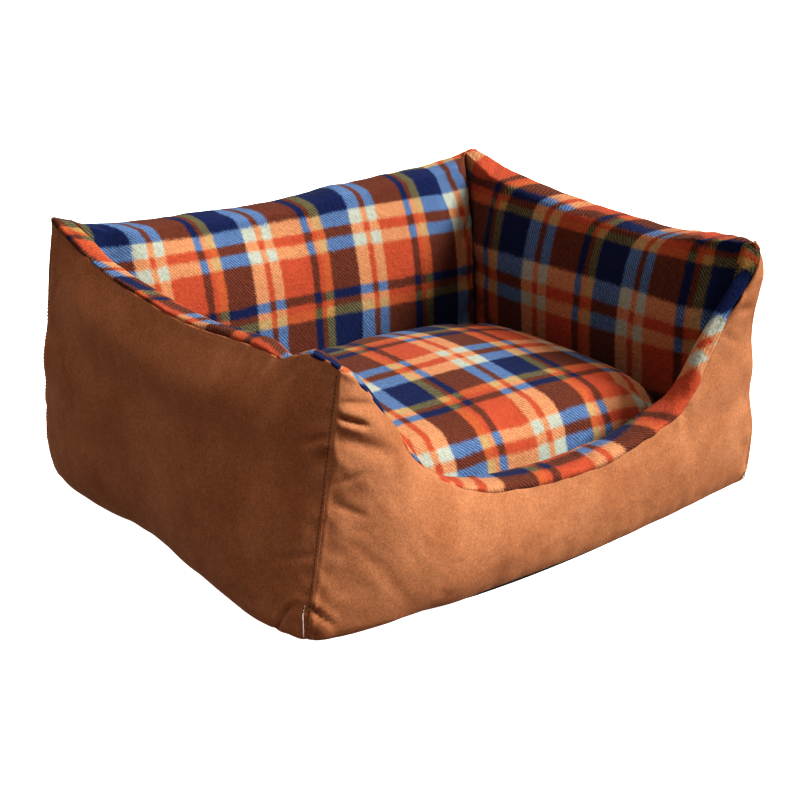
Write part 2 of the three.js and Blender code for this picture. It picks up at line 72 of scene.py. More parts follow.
# Each wall runs anticlockwise from one corner to the next. roll is the width of the rolled rim, rim the
# height of the seam between suede and fleece, rise how far the roll stands off that seam and push how far the
# foot is pushed out, each as (fraction along the wall, millimetres).
WALLS = {
    "front": dict(
        start="front_left", end="front_right", along=(1, 0), length=465,
        roll=[(0, 9), (0.06, 9.5), (0.12, 13), (0.22, 23), (0.35, 28), (0.74, 28), (0.84, 18), (0.9, 11),
              (0.95, 9.3), (1, 9)],
        rim=[(0.034, 191.8), (0.073, 172.6), (0.117, 146), (0.174, 114), (0.211, 101), (0.274, 87.5),
             (0.346, 79.3), (0.435, 74.8), (0.518, 73.1), (0.606, 74.8), (0.667, 78.2), (0.747, 86),
             (0.791, 94), (0.819, 104.4), (0.872, 133), (0.903, 151.2), (0.928, 167), (0.953, 182),
             (0.978, 197)],
        rise=[(0, 0.6), (0.06, 1), (0.12, 1.5), (0.2, 2.5), (0.32, 5), (0.5, 7), (0.85, 7), (0.93, 5),
              (0.97, 3), (1, 1)],
        push=[(0, 0), (0.05, 5), (0.1, 8.5), (0.2, 10), (0.5, 10), (0.78, 3), (1, 0)]),
    "right": dict(
        start="front_right", end="back_right", along=(0, 1), length=363,
        roll=[(0, 9), (0.05, 16), (0.13, 27), (0.3, 31), (0.8, 31), (0.93, 22), (1, 13)],
        rim=[(0.025, 215.5), (0.06, 212.5), (0.12, 207.5), (0.2, 201), (0.3, 195), (0.41, 193),
             (0.56, 191), (0.77, 193), (0.9, 200.5), (0.96, 209)],
        rise=[(0, 1), (0.03, 4), (0.08, 6.5), (0.15, 7.5), (0.3, 8), (0.85, 8), (0.95, 4), (1, 1)],
        push=[(0, 0), (0.5, 0), (1, 0)]),
    "back": dict(
        start="back_right", end="back_left", along=(-1, 0), length=466,
        roll=[(0, 13), (0.05, 18), (0.13, 24), (0.3, 26), (0.85, 26), (0.94, 16), (1, 9)],
        rim=[(0.02, 212.5), (0.05, 209.5), (0.12, 202), (0.3, 198.5), (0.38, 198.5), (0.52, 194.5),
             (0.7, 199), (0.82, 202.5), (0.92, 212)],
        rise=[(0, 0.8), (0.05, 3), (0.12, 7), (0.3, 8), (0.85, 8), (0.95, 4), (1, 1)],
        push=[(0, 0), (0.5, 0), (1, 0)]),
    "left": dict(
        start="back_left", end="front_left", along=(0, -1), length=363,
        roll=[(0, 9), (0.1, 13), (0.25, 18.5), (0.45, 22), (0.72, 21), (0.82, 15), (0.88, 10.5),
              (0.94, 9.3), (1, 9)],
        rim=[(0.075, 219), (0.21, 206), (0.39, 197), (0.55, 192.5), (0.71, 195.5), (0.79, 196.5),
             (0.85, 195.5), (0.885, 201.5), (0.92, 206.5), (0.96, 206.5)],
        rise=[(0, 0.8), (0.08, 2), (0.18, 4), (0.35, 6), (0.75, 6.5), (0.84, 4.2), (0.88, 2.2),
              (0.95, 1.2), (1, 0.6)],
        push=[(0, 0), (0.15, 1), (0.4, -9), (0.66, -3), (0.85, 5), (0.94, 4), (1, 0)]),
}
WALL_FOOT = 2.0     # height of a wall's lowest edge outside
LINING_FOOT = 12.5  # and inside
FOOT_BOW = 12       # how far the middle of a wall bows out at its foot
RIM_BOW = 8         # and at its rim
OUTER_BELLY = 5     # how far the stuffing rounds a wall at half height, outside
INNER_BELLY = 9     # and inside
FOOT_TUCK = 4       # how far the foot stands out before the panel is drawn under it
PUFF_START = 55     # how quickly the stuffing rounds a panel out beside its corner seams,
PUFF_END = 180      # and how soon that fades


def mix(a, b, k):
    return a + (b - a) * k


def smooth(x, low, high):
    k = np.clip((x - low) / (high - low), 0, 1)
    return k * k * (3 - 2 * k)


def hump(x, centre, width):
    return np.exp(-((x - centre) / width) ** 2)


def vec(*parts):
    return np.stack(np.broadcast_arrays(*parts), -1).astype(float)


def unit(v):
    return v / np.maximum(np.linalg.norm(v, axis=-1, keepdims=True), 1e-9)


def curve_through(knots, t):
    """Smooth curve through (position, value) knots."""
    at, value = (np.array(column, float) for column in zip(*knots))
    slope = np.empty(len(at))
    slope[0] = (value[1] - value[0]) / (at[1] - at[0])
    slope[-1] = (value[-1] - value[-2]) / (at[-1] - at[-2])
    slope[1:-1] = (value[2:] - value[:-2]) / (at[2:] - at[:-2])
    i = np.clip(np.searchsorted(at, t, side="right") - 1, 0, len(at) - 2)
    span = at[i + 1] - at[i]
    u = (t - at[i]) / span
    return ((2 * u**3 - 3 * u**2 + 1) * value[i] + (u**3 - 2 * u**2 + u) * span * slope[i]
            + (3 * u**2 - 2 * u**3) * value[i + 1] + (u**3 - u**2) * span * slope[i + 1])


def outward(wall):
    x, y = wall["along"]
    return np.array([y, -x, 0.0])


def rim_height(wall, t):
    ends = CORNERS[wall["start"]]["peak"][2], CORNERS[wall["end"]]["peak"][2]
    return curve_through([(0, ends[0]), *wall["rim"], (1, ends[1])], t)


def outer_corner(corner, z):
    up = z / corner["peak"][2]
    bulge = np.sin(math.pi * np.clip(up, 0, 1))
    kick = corner["flare"] * np.maximum(0, 1 - up) ** 6 + corner["belly"] * bulge
    kick = kick + 1.4 * bulge * wander(z, 27, 900 + corner["sway"])
    kick = kick + FOOT_TUCK * (1 - np.clip(up, 0, 1)) ** 1.5
    under_peak = np.clip(1 - up, 0, 1)
    kick = kick + corner["crest"] * (1 - np.exp(-under_peak / 0.05)) * np.exp(-(under_peak / 0.25) ** 2)
    (fx, fy), (x, y), peak = corner["faces"], corner["foot"], corner["peak"]
    return vec(mix(x, peak[0], up) + fx * kick, mix(y, peak[1], up) + fy * kick, z)


def outer_point(wall, t, z):
    up = z / 210
    arch = 1 - np.abs(2 * t - 1) ** 2.4
    bow = mix(FOOT_BOW, RIM_BOW, up) + OUTER_BELLY * np.sin(math.pi * np.minimum(up, 1))
    bow = bow * arch + curve_through(wall["push"], t) * (1 - np.clip(up, 0, 1)) ** 1.5
    between = np.maximum(np.sin(math.pi * np.clip(z / rim_height(wall, t), 0, 1)), 0) ** 0.7
    runs_back = wall["along"][0] == 0
    for end, s in (("start", t * wall["length"]), ("end", (1 - t) * wall["length"])):
        puff = CORNERS[wall[end]]["puff"][runs_back]
        bow = bow + puff * between * (1 - np.exp(-s / PUFF_START)) * np.exp(-(s / PUFF_END) ** 2)
    a = outer_corner(CORNERS[wall["start"]], z)
    b = outer_corner(CORNERS[wall["end"]], z)
    return mix(a, b, np.asarray(t)[..., None]) + outward(wall) * bow[..., None]


def rim_seam(wall, t):
    return outer_point(wall, t, rim_height(wall, t))


def rim_stand(wall, t):
    """Direction in which the roll stands off its seam: square to it, but straight up at the corners."""
    step = 0.01
    tangent = rim_seam(wall, np.minimum(t + step, 1)) - rim_seam(wall, np.maximum(t - step, 0))
    square = unit(np.cross(tangent, -outward(wall)))
    settle = smooth(np.minimum(t, 1 - t), 0, 0.05)[..., None]
    return unit(mix(np.array([0, 0, 1.0]), square, settle))


def wall_points(wall, t, r):
    """Wall surface at fraction t along it; r runs 0 to 1 up the outside, to 2 over the roll, to 3 inside."""
    t, r = np.broadcast_arrays(t, r)
    inward = -outward(wall)
    start, end = CORNERS[wall["start"]], CORNERS[wall["end"]]
    full = 1 - np.abs(2 * t - 1) ** 7
    width = curve_through(wall["roll"], t)
    seam, stand = rim_seam(wall, t), rim_stand(wall, t)
    outer = outer_point(wall, t, mix(WALL_FOOT, seam[..., 2], np.clip(r, 0, 1)))

    narrow = mix(start["pinch"], end["pinch"], t)
    diagonal = vec(mix(start["faces"][0], end["faces"][0], t), mix(start["faces"][1], end["faces"][1], t), 0)
    across = inward * (width - narrow)[..., None] - diagonal * narrow[..., None]
    edge = seam + across - 2 * stand
    angle = math.pi * np.clip(r - 1, 0, 1)
    reach = np.cos(angle) * (1 + 0.3 * np.sin(angle))
    rise = curve_through(wall["rise"], t) * np.sin(angle) ** 0.85
    roll = (seam + edge) / 2 - (edge - seam) / 2 * reach[..., None] + stand * rise[..., None]

    (start_x, start_y), (end_x, end_y) = start["inner"], end["inner"]
    foot = vec(mix(start_x, end_x, t), mix(start_y, end_y, t), LINING_FOOT)
    down = np.clip(r - 2, 0, 1)
    belly = INNER_BELLY * full * (np.sin(math.pi * down) + 0.35 * np.sin(2 * math.pi * down))
    inner = mix(edge, foot, down[..., None]) + inward * belly[..., None]
    return np.where((r <= 1)[..., None], outer, np.where((r <= 2)[..., None], roll, inner))


def end_distances(wall, t):
    return t * wall["length"], (1 - t) * wall["length"]


def corner_offset(wall, t_end, r, low, high):
    """Offset direction at a corner seam, shared by the two walls that meet there."""
    faces = np.array(CORNERS[wall["start" if t_end == 0 else "end"]]["faces"], float)
    step = 0.01
    end = np.full_like(r, t_end)
    above, below = np.minimum(r + step, high), np.maximum(r - step, low)
    tangent = wall_points(wall, end, above) - wall_points(wall, end, below)
    lean = -(tangent[..., :2] @ faces) / 2
    size = np.hypot(lean, tangent[..., 2])
    out = tangent[..., 2] / size
    return vec(faces[0] * out, faces[1] * out, lean / size)


def wall_normals(wall, t, r, low, high):
    """Normals of the surface between height codes low and high, mitred with the neighbours at the ends."""
    t, r = np.broadcast_arrays(t, r)
    dt, dr = 0.003, 0.012
    across = wall_points(wall, np.minimum(t + dt, 1), r) - wall_points(wall, np.maximum(t - dt, 0), r)
    up = wall_points(wall, t, np.minimum(r + dr, high)) - wall_points(wall, t, np.maximum(r - dr, low))
    normal = unit(np.cross(across, up))
    for t_end, distance in zip((0, 1), end_distances(wall, t)):
        near = 1 - smooth(distance, 0, 9)[..., None]
        normal = mix(normal, corner_offset(wall, t_end, r, low, high), near)
    return normal


def grid_normals(points):
    return unit(np.cross(np.gradient(points, axis=0), np.gradient(points, axis=1)))


# ------------------------------------------------------------------ random but repeatable unevenness

def wander(x, spacing, seed):
    """Smooth one-dimensional noise between about -1 and 1."""
    knots = np.random.default_rng(seed).uniform(-1, 1, 400)
    place = np.asarray(x) / spacing + 200
    i = np.clip(np.floor(place).astype(int), 1, 396)
    u = place - i
    a, b, c, d = knots[i - 1], knots[i], knots[i + 1], knots[i + 2]
    return b + 0.5 * u * (c - a + u * (2 * a - 5 * b + 4 * c - d + u * (3 * (b - c) + d - a)))


def billow(x, y, spacing, seed):
    """Smooth two-dimensional unevenness made of slanted wanders."""
    total = 0
    for k, turn in enumerate((0.3, 1.4, 2.5)):
        total = total + wander(x * math.cos(turn) + y * math.sin(turn), spacing, seed + k)
    return total / 2


# ------------------------------------------------------------------ meshes and pieces

def grid_faces(columns, rows):
    index = np.arange(columns * rows).reshape(columns, rows)
    return np.stack([index[:-1, :-1], index[1:, :-1], index[1:, 1:], index[:-1, 1:]], -1).reshape(-1, 4)


def smooth_mesh(name, points, faces):
    """Smoothly shaded mesh of points in millimetres."""
    mesh = bpy.data.meshes.new(name)
    mesh.from_pydata((np.reshape(points, (-1, 3)) * MM).tolist(), [], faces)
    mesh.shade_smooth()
    return mesh


def grid_mesh(name, points, repeats=None):
    """Mesh of a grid of points, with its plaid coordinates where it has any."""
    faces = grid_faces(*points.shape[:2])
    mesh = smooth_mesh(name, points, faces.tolist())
    if repeats is not None:
        layer = mesh.uv_layers.new(name="repeats")
        layer.data.foreach_set("uv", repeats.reshape(-1, 2)[faces.ravel()].ravel())
    return mesh


def make_piece(name, mesh, material, body, stands_for=()):
    piece = bpy.data.objects.new(name, mesh)
    bpy.context.scene.collection.objects.link(piece)
    mesh.materials.append(material)
    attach(piece, body)
    if stands_for:
        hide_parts(*stands_for)
    return piece


def thicken(piece, thickness):
    """Gives a sheet its cloth's thickness, on its inner side."""
    solid = piece.modifiers.new("cloth thickness", "SOLIDIFY")
    solid.thickness = thickness * MM
    solid.offset = -1


def resample(grid, x, y):
    """Cubic interpolation of a grid at fractional column x and row y indices."""
    def along(values, place):
        i = np.clip(np.floor(place).astype(int), 0, len(values) - 2)
        u = (place - i).reshape((-1,) + (1,) * (values.ndim - 1))
        a, b = values[np.maximum(i - 1, 0)], values[i]
        c, d = values[i + 1], values[np.minimum(i + 2, len(values) - 1)]
        return b + 0.5 * u * (c - a + u * (2 * a - 5 * b + 4 * c - d + u * (3 * (b - c) + d - a)))
    return along(along(grid, x).swapaxes(0, 1), y).swapaxes(0, 1)


def blur(grid, passes):
    """Spreads each value over its neighbours, leaving the grid's edges as they are."""
    for _ in range(passes):
        inside = (grid[:-2, 1:-1] + grid[2:, 1:-1] + grid[1:-1, :-2] + grid[1:-1, 2:]) / 4
        grid = grid.copy()
        grid[1:-1, 1:-1] = inside
    return grid


# ------------------------------------------------------------------ cloth simulation

SIMULATED_FRAMES = 24


def inflate(name, points, hold, pressure, slack, cap):
    """Inflates a grid of cloth, held by weights, and returns how far each point moved, up to cap."""
    start = points.reshape(-1, 3)
    cloth = bpy.data.objects.new(name, grid_mesh(name, points))
    bpy.context.scene.collection.objects.link(cloth)
    group = cloth.vertex_groups.new(name="hold")
    for i, weight in enumerate(hold.ravel()):
        group.add([i], float(weight), "REPLACE")
    modifier = cloth.modifiers.new("cloth", "CLOTH")
    settings = modifier.settings
    settings.quality = 5
    settings.mass = 0.15
    settings.air_damping = 5
    settings.tension_stiffness = 20
    settings.compression_stiffness = 20
    settings.shear_stiffness = 8
    settings.bending_stiffness = 0.4
    settings.use_pressure = True
    settings.uniform_pressure_force = pressure
    settings.vertex_group_mass = "hold"
    settings.shrink_min = -slack
    settings.effector_weights.gravity = 0
    modifier.point_cache.frame_start = 1
    modifier.point_cache.frame_end = SIMULATED_FRAMES
    scene = bpy.context.scene
    for step in range(1, SIMULATED_FRAMES + 1):
        scene.frame_set(step)
    evaluated = cloth.evaluated_get(bpy.context.evaluated_depsgraph_get())
    moved = np.empty(len(start) * 3)
    evaluated.data.vertices.foreach_get("co", moved)
    bpy.data.objects.remove(cloth)
    scene.frame_set(1)
    shift = moved.reshape(-1, 3) / MM - start
    shift *= np.minimum(1, cap / np.maximum(np.linalg.norm(shift, axis=1, keepdims=True), 1e-6))
    return shift.reshape(points.shape)


# ------------------------------------------------------------------ materials

def colour(red, green, blue):
    """Shader colour from screen values of 0 to 255."""
    linear = [((c / 255 + 0.055) / 1.055) ** 2.4 if c > 10 else c / 3294.6 for c in (red, green, blue)]
    return (*linear, 1.0)


def add(tree, kind, inputs=(), **settings):
    """Adds a shader node, sets or links its inputs by name or number, and returns it."""
    made = tree.nodes.new("ShaderNode" + kind)
    for key, value in settings.items():
        setattr(made, key, value)
    for key, value in dict(inputs).items():
        if isinstance(value, bpy.types.NodeSocket):
            tree.links.new(value, made.inputs[key])
        else:
            made.inputs[key].default_value = value
    return made


def calculate(tree, operation, a, b=0.0):
    return add(tree, "Math", {0: a, 1: b}, operation=operation).outputs[0]


def noise(tree, place, size, detail=2.0, output=0):
    """Noise whose lumps are about size millimetres across."""
    made = add(tree, "TexNoise", {"Vector": place, "Scale": 1 / (size * MM), "Detail": detail})
    return made.outputs[output]


def rescale(tree, value, low, high, to_low, to_high):
    return add(tree, "MapRange", {"Value": value, "From Min": low, "From Max": high, "To Min": to_low,
                                  "To Max": to_high}).outputs[0]


def blend_colours(tree, factor, first, second, blend="MIX"):
    return add(tree, "Mix", {0: factor, 6: first, 7: second}, data_type="RGBA", blend_type=blend).outputs[2]


def multiply_colour(tree, tint, amount):
    """Colour times a plain number."""
    grey = add(tree, "CombineXYZ", {0: amount, 1: amount, 2: amount}).outputs[0]
    return blend_colours(tree, 1.0, tint, grey, "MULTIPLY")


def bump(tree, height, depth, strength, below=None):
    inputs = {"Height": height, "Distance": depth * MM, "Strength": strength}
    if below is not None:
        inputs["Normal"] = below
    return add(tree, "Bump", inputs).outputs[0]


def new_material(name, roughness, metallic=0.0, sheen=0.0, specular=0.3):
    """A material, its node tree and shader, and the position on the object, for its patterns."""
    material = bpy.data.materials.new(name)
    material.use_nodes = True
    tree = material.node_tree
    shader = tree.nodes["Principled BSDF"]
    shader.inputs["Roughness"].default_value = roughness
    shader.inputs["Metallic"].default_value = metallic
    shader.inputs["Sheen Weight"].default_value = sheen
    shader.inputs["Sheen Roughness"].default_value = 0.5
    shader.inputs["Specular IOR Level"].default_value = specular
    return material, tree, shader, add(tree, "TexCoord").outputs["Object"]


def finish_material(tree, shader, tint, normal):
    tree.links.new(tint, shader.inputs["Base Color"])
    tree.links.new(normal, shader.inputs["Normal"])


def suede_material():
    material, tree, shader, place = new_material("suede", 0.92, sheen=0.08, specular=0.06)
    shader.inputs["Sheen Roughness"].default_value = 0.4
    shader.inputs["Sheen Tint"].default_value = colour(255, 205, 160)
    nap = noise(tree, place, 45, 3)
    patches = noise(tree, place, 12, 3)
    grain = noise(tree, place, 1.0, 3)
    flecks = noise(tree, place, 2.4, 2)
    worn = rescale(tree, nap, 0.3, 0.7, 0.0, 1.0)
    tint = blend_colours(tree, worn, colour(160, 110, 78), colour(177, 127, 94))
    tint = multiply_colour(tree, tint, rescale(tree, patches, 0.25, 0.75, 0.94, 1.06))
    tint = multiply_colour(tree, tint, rescale(tree, grain, 0.25, 0.75, 0.78, 1.22))
    tint = multiply_colour(tree, tint, rescale(tree, flecks, 0.3, 0.7, 0.9, 1.1))
    normal = bump(tree, grain, 0.25, 0.7)
    normal = bump(tree, patches, 1.0, 0.25, normal)
    finish_material(tree, shader, tint, normal)
    return material


# Each class of plaid yarn: orange, cream, navy and straw.
ORANGE, CREAM, NAVY, STRAW = range(4)
PLAID_ACROSS = [(NAVY, 0.265), (CREAM, 0.12), (ORANGE, 0.055), (CREAM, 0.095), (ORANGE, 0.28), (NAVY, 0.065),
                (ORANGE, 0.045), (STRAW, 0.075)]
PLAID_DOWN = [(NAVY, 0.26), (CREAM, 0.12), (ORANGE, 0.075), (CREAM, 0.09), (ORANGE, 0.275), (NAVY, 0.065),
              (ORANGE, 0.045), (STRAW, 0.07)]
# Colours of the two twill lines where yarns of two classes cross.
PLAID_MIXES = {
    (ORANGE, ORANGE): [(171, 86, 61), (164, 79, 56)],
    (CREAM, CREAM): [(170, 178, 166), (161, 168, 156)],
    (NAVY, NAVY): [(35, 47, 85), (30, 40, 77)],
    (STRAW, STRAW): [(172, 142, 91), (165, 133, 85)],
    (ORANGE, NAVY): [(118, 71, 55), (77, 44, 36)],
    (CREAM, NAVY): [(108, 137, 175), (64, 85, 119)],
    (ORANGE, CREAM): [(190, 149, 113), (175, 116, 82)],
    (NAVY, STRAW): [(120, 116, 82), (66, 65, 61)],
    (ORANGE, STRAW): [(175, 102, 65), (166, 86, 56)],
    (CREAM, STRAW): [(176, 155, 114), (167, 139, 98)],
}


def stepped_ramp(tree, value, steps):
    """Colour ramp that holds each (width, colour) step in turn."""
    made = add(tree, "ValToRGB", {"Fac": value})
    ramp = made.color_ramp
    ramp.interpolation = "CONSTANT"
    ramp.elements.remove(ramp.elements[1])
    ramp.elements[0].color = steps[0][1]
    position = steps[0][0]
    for width, tint in steps[1:]:
        ramp.elements.new(position).color = tint
        position += width
    return made.outputs["Color"]


def yarn_class(tree, coordinate, bands, share):
    """Turns a plaid coordinate into a number for the class of yarn there."""
    levels = [(width, (kind * share, kind * share, kind * share, 1)) for kind, width in bands]
    inside = calculate(tree, "FRACT", coordinate)
    return stepped_ramp(tree, inside, levels)


def wobbled(tree, flat, place, size, shift):
    """Plaid coordinates moved about by noise of a size in millimetres, by up to a share of a repeat."""
    wobble = add(tree, "VectorMath", {0: noise(tree, place, size, 1, 1), 1: (0.5, 0.5, 0.5)},
                 operation="SUBTRACT").outputs[0]
    inputs = {0: wobble, 1: (shift, shift, 0.0), 2: flat}
    return add(tree, "VectorMath", inputs, operation="MULTIPLY_ADD").outputs[0]


TWILL_LINES = 37    # in one repeat of the plaid


def fleece_material():
    material, tree, shader, place = new_material("fleece", 0.95, sheen=0.06, specular=0.04)
    flat = add(tree, "UVMap", uv_map="repeats").outputs[0]
    for size, shift in ((55, 0.03), (9, 0.016), (2.2, 0.012)):
        flat = wobbled(tree, flat, place, size, shift)
    woven = add(tree, "SeparateXYZ", {0: flat}).outputs
    parts = add(tree, "SeparateXYZ", {0: wobbled(tree, flat, place, 0.5, 0.075)}).outputs
    across = yarn_class(tree, parts[0], PLAID_ACROSS, 1 / 4)
    down = yarn_class(tree, parts[1], PLAID_DOWN, 1 / 16)
    pair = calculate(tree, "ADD", calculate(tree, "ADD", across, down), 1 / 32)
    lines = []
    for shade in (0, 1):
        steps = []
        for first in range(4):
            for second in range(4):
                steps.append((1 / 16, colour(*PLAID_MIXES[min(first, second), max(first, second)][shade])))
        lines.append(stepped_ramp(tree, pair, steps))
    diagonal = calculate(tree, "SUBTRACT", woven[0], woven[1])
    slant = calculate(tree, "MULTIPLY", diagonal, TWILL_LINES * 2 * math.pi)
    twill = rescale(tree, calculate(tree, "SINE", slant), -1.0, 1.0, 0.08, 0.92)
    tint = blend_colours(tree, twill, *lines)
    pile = noise(tree, place, 1.5, 3)
    tufts = noise(tree, place, 4, 2)
    tint = multiply_colour(tree, tint, rescale(tree, pile, 0.3, 0.7, 0.88, 1.1))
    tint = multiply_colour(tree, tint, rescale(tree, tufts, 0.3, 0.7, 0.93, 1.07))
    normal = bump(tree, pile, 0.7, 0.6)
    normal = bump(tree, tufts, 1.5, 0.5, normal)
    finish_material(tree, shader, tint, normal)
    return material


def woven_material(name, light, dark, pitch):
    """Plain weave: light and dark yarns crossing at a pitch in millimetres."""
    material, tree, shader, place = new_material(name, 0.85, specular=0.2)
    parts = add(tree, "SeparateXYZ", {0: place}).outputs
    turn = 2 * math.pi / (pitch * MM)
    waves = [calculate(tree, "SINE", calculate(tree, "MULTIPLY", parts[axis], turn)) for axis in (0, 1)]
    weave = rescale(tree, calculate(tree, "MULTIPLY", *waves), -1.0, 1.0, 0.0, 1.0)
    tint = blend_colours(tree, weave, colour(*light), colour(*dark))
    tint = multiply_colour(tree, tint, rescale(tree, noise(tree, place, 20, 3), 0.3, 0.7, 0.88, 1.12))
    finish_material(tree, shader, tint, bump(tree, weave, 0.2, 0.6))
    return material


RIDGE_PITCH = 0.8


def yarn_material(name, tint, roughness=0.7):
    """Twisted yarn or moulded nylon: fine slanting ridges."""
    material, tree, shader, place = new_material(name, roughness, sheen=0.1, specular=0.3)
    parts = add(tree, "SeparateXYZ", {0: place}).outputs
    diagonal = calculate(tree, "ADD", parts[0], parts[2])
    slant = calculate(tree, "MULTIPLY", diagonal, 2 * math.pi / (RIDGE_PITCH * MM))
    ridges = rescale(tree, calculate(tree, "SINE", slant), -1.0, 1.0, 0.8, 1.15)
    made = multiply_colour(tree, colour(*tint), ridges)
    made = multiply_colour(tree, made, rescale(tree, noise(tree, place, 3, 2), 0.3, 0.7, 0.9, 1.1))
    finish_material(tree, shader, made, bump(tree, ridges, 0.1, 0.5))
    return material


def wadding_material():
    material, tree, shader, place = new_material("wadding", 1.0, sheen=0.2, specular=0.05)
    fibres = noise(tree, place, 2.5, 4)
    tint = blend_colours(tree, fibres, colour(214, 210, 200), colour(240, 238, 232))
    finish_material(tree, shader, tint, bump(tree, fibres, 1.0, 0.8))
    return material


def metal_material():
    material, tree, shader, place = new_material("zip metal", 0.38, metallic=1.0)
    cast = noise(tree, place, 1.2, 3)
    worn = noise(tree, place, 5, 3)
    worn = rescale(tree, worn, 0.35, 0.65, 0, 1)
    tint = blend_colours(tree, worn, colour(150, 145, 134), colour(190, 186, 176))
    tree.links.new(rescale(tree, cast, 0.3, 0.7, 0.3, 0.5), shader.inputs["Roughness"])
    finish_material(tree, shader, tint, bump(tree, cast, 0.05, 0.4))
    return material


SUEDE = suede_material()
FLEECE = fleece_material()
BASE_CLOTH = woven_material("base cloth", (44, 39, 37), (22, 19, 18), 1.0)
LINER = woven_material("floor liner", (122, 88, 66), (92, 64, 46), 1.1)
ZIP_TAPE = woven_material("zip tape", (120, 82, 58), (92, 60, 42), 0.7)
ZIP_NYLON = yarn_material("zip nylon", (89, 64, 47), 0.45)
WHITE_THREAD = yarn_material("white thread", (238, 234, 222))
DARK_THREAD = yarn_material("dark thread", (58, 36, 24))
WADDING = wadding_material()
METAL = metal_material()


# ------------------------------------------------------------------ walls

LATTICE_COLUMNS = 64
LATTICE_ROWS = np.concatenate([np.linspace(0, 1, 28), np.linspace(1, 2, 7)[1:], np.linspace(2, 3, 26)[1:]])
SUEDE_SHARE = 0.22   # share of the simulated wrinkles kept: the walls are stuffed tight, so little shows,
FLEECE_SHARE = 0.45  # and less on the suede than on the fleece
RIM_HOLD = 0.75      # how firmly the seam at the rim holds the cloth, where 1 is fixed


def hold_edges(hold):
    for edge in (hold[:1], hold[-1:], hold[:, :1], hold[:, -1:]):
        edge[:] = 1


def stuffed_shift(name, wall):
    """How far the stuffing pushes the cloth of a wall about, on a coarse lattice."""
    t, r = np.meshgrid(np.linspace(0, 1, LATTICE_COLUMNS), LATTICE_ROWS, indexing="ij")
    points = wall_points(wall, t, r)
    normal = grid_normals(points)
    hold = np.zeros(t.shape)
    hold[:, np.argmin(abs(LATTICE_ROWS - 1))] = RIM_HOLD
    hold_edges(hold)
    shift = inflate(f"{name} stuffing", points + normal * SKIN, hold, 1.6, 0.03, 7)
    share = np.where(r < 1, SUEDE_SHARE, FLEECE_SHARE) * (1 - hump(r, 1, 0.22))
    return (shift - 0.85 * blur(shift, 90)) * share[..., None]


def shift_at(wall, t, r):
    """Stuffed shift at fractions t along a wall and height codes r, both one-dimensional."""
    rows = np.interp(r, LATTICE_ROWS, np.arange(len(LATTICE_ROWS)))
    return resample(wall["shift"], t * (LATTICE_COLUMNS - 1), rows)


def corner_vectors(wall):
    return [vec(*CORNERS[wall[end]]["faces"], 0) for end in ("start", "end")]


# Short creases in the suede: distance from the wall's start, height, half length, tilt in degrees, depth and
# width.
CREASES = {
    "front": [(12, 165, 13, -23, 3.6, 1.6), (17, 177, 13, -12, 1.6, 1.8), (22, 146, 24, -22, 2.8, 5.5),
              (14, 122, 12, 22, 1.0, 2.2), (16, 98, 13, -25, 1.1, 2.2), (436, 178, 10, 25, 1.5, 2.0),
              (446, 165, 12, -8, 1.4, 3.0), (430, 142, 12, -28, 1.1, 2.0)],
    "left": [(293, 189, 9, 80, 1.7, 1.7), (323, 194, 10, 82, 2.4, 1.8), (309, 168, 22, 75, 2.2, 5.0),
             (275, 184, 13, 84, 1.2, 1.8), (240, 182, 12, 86, 1.0, 1.8), (345, 60, 16, 20, 1.0, 2.0),
             (352, 150, 10, 30, 1.6, 2.4)],
    "back": [(20, 180, 12, 30, 1.2, 1.8), (446, 190, 10, -30, 1.2, 1.8), (446, 120, 12, 12, 1.2, 2.4)],
    "right": [(20, 184, 12, 60, 1.2, 1.8), (60, 182, 12, 80, 1.0, 1.8), (342, 186, 12, -60, 1.2, 1.8)],
}
TUCK_HEIGHT = 26    # of the fold at the foot of the front left corner
LEFT_PANEL_SWELL = dict(lift=8, below_rim=34, width=23)
LEFT_FOOT_RISE = dict(lift=2.0, at=0.42, width=0.12, fades_over=9)
# Topstitching beside each corner seam of the side walls, which lies in a shallow groove.
STITCH = dict(pitch=3.2, length=2.3, radius=0.3, from_corner=2.5)


def crease_lift(s, z, crease):
    """A crease with a soft bulge along each side."""
    at_s, at_z, reach, tilt, depth, width = crease
    turn = math.radians(tilt)
    along = (s - at_s) * math.cos(turn) + (z - at_z) * math.sin(turn)
    off = (z - at_z) * math.cos(turn) - (s - at_s) * math.sin(turn)
    window = np.exp(-(along / reach) ** 4)
    beside = 0.5 * hump(off, 3 * width, 2.3 * width) + 0.5 * hump(off, -3 * width, 2.3 * width)
    return depth * window * (beside - hump(off, 0, width))


def tuck_lift(s, z, slope, reach):
    """The fold taken up at the foot of the front left corner."""
    off = z - (TUCK_HEIGHT * (1 - smooth(s, 12, 36)) if slope == 0 else TUCK_HEIGHT - slope * s)
    window = 1 - smooth(s, reach, reach + 10)
    return window * (1.1 * hump(off, 5, 4) - 2.3 * hump(off, 0, 1.5) + 1.3 * hump(off, -8, 7))


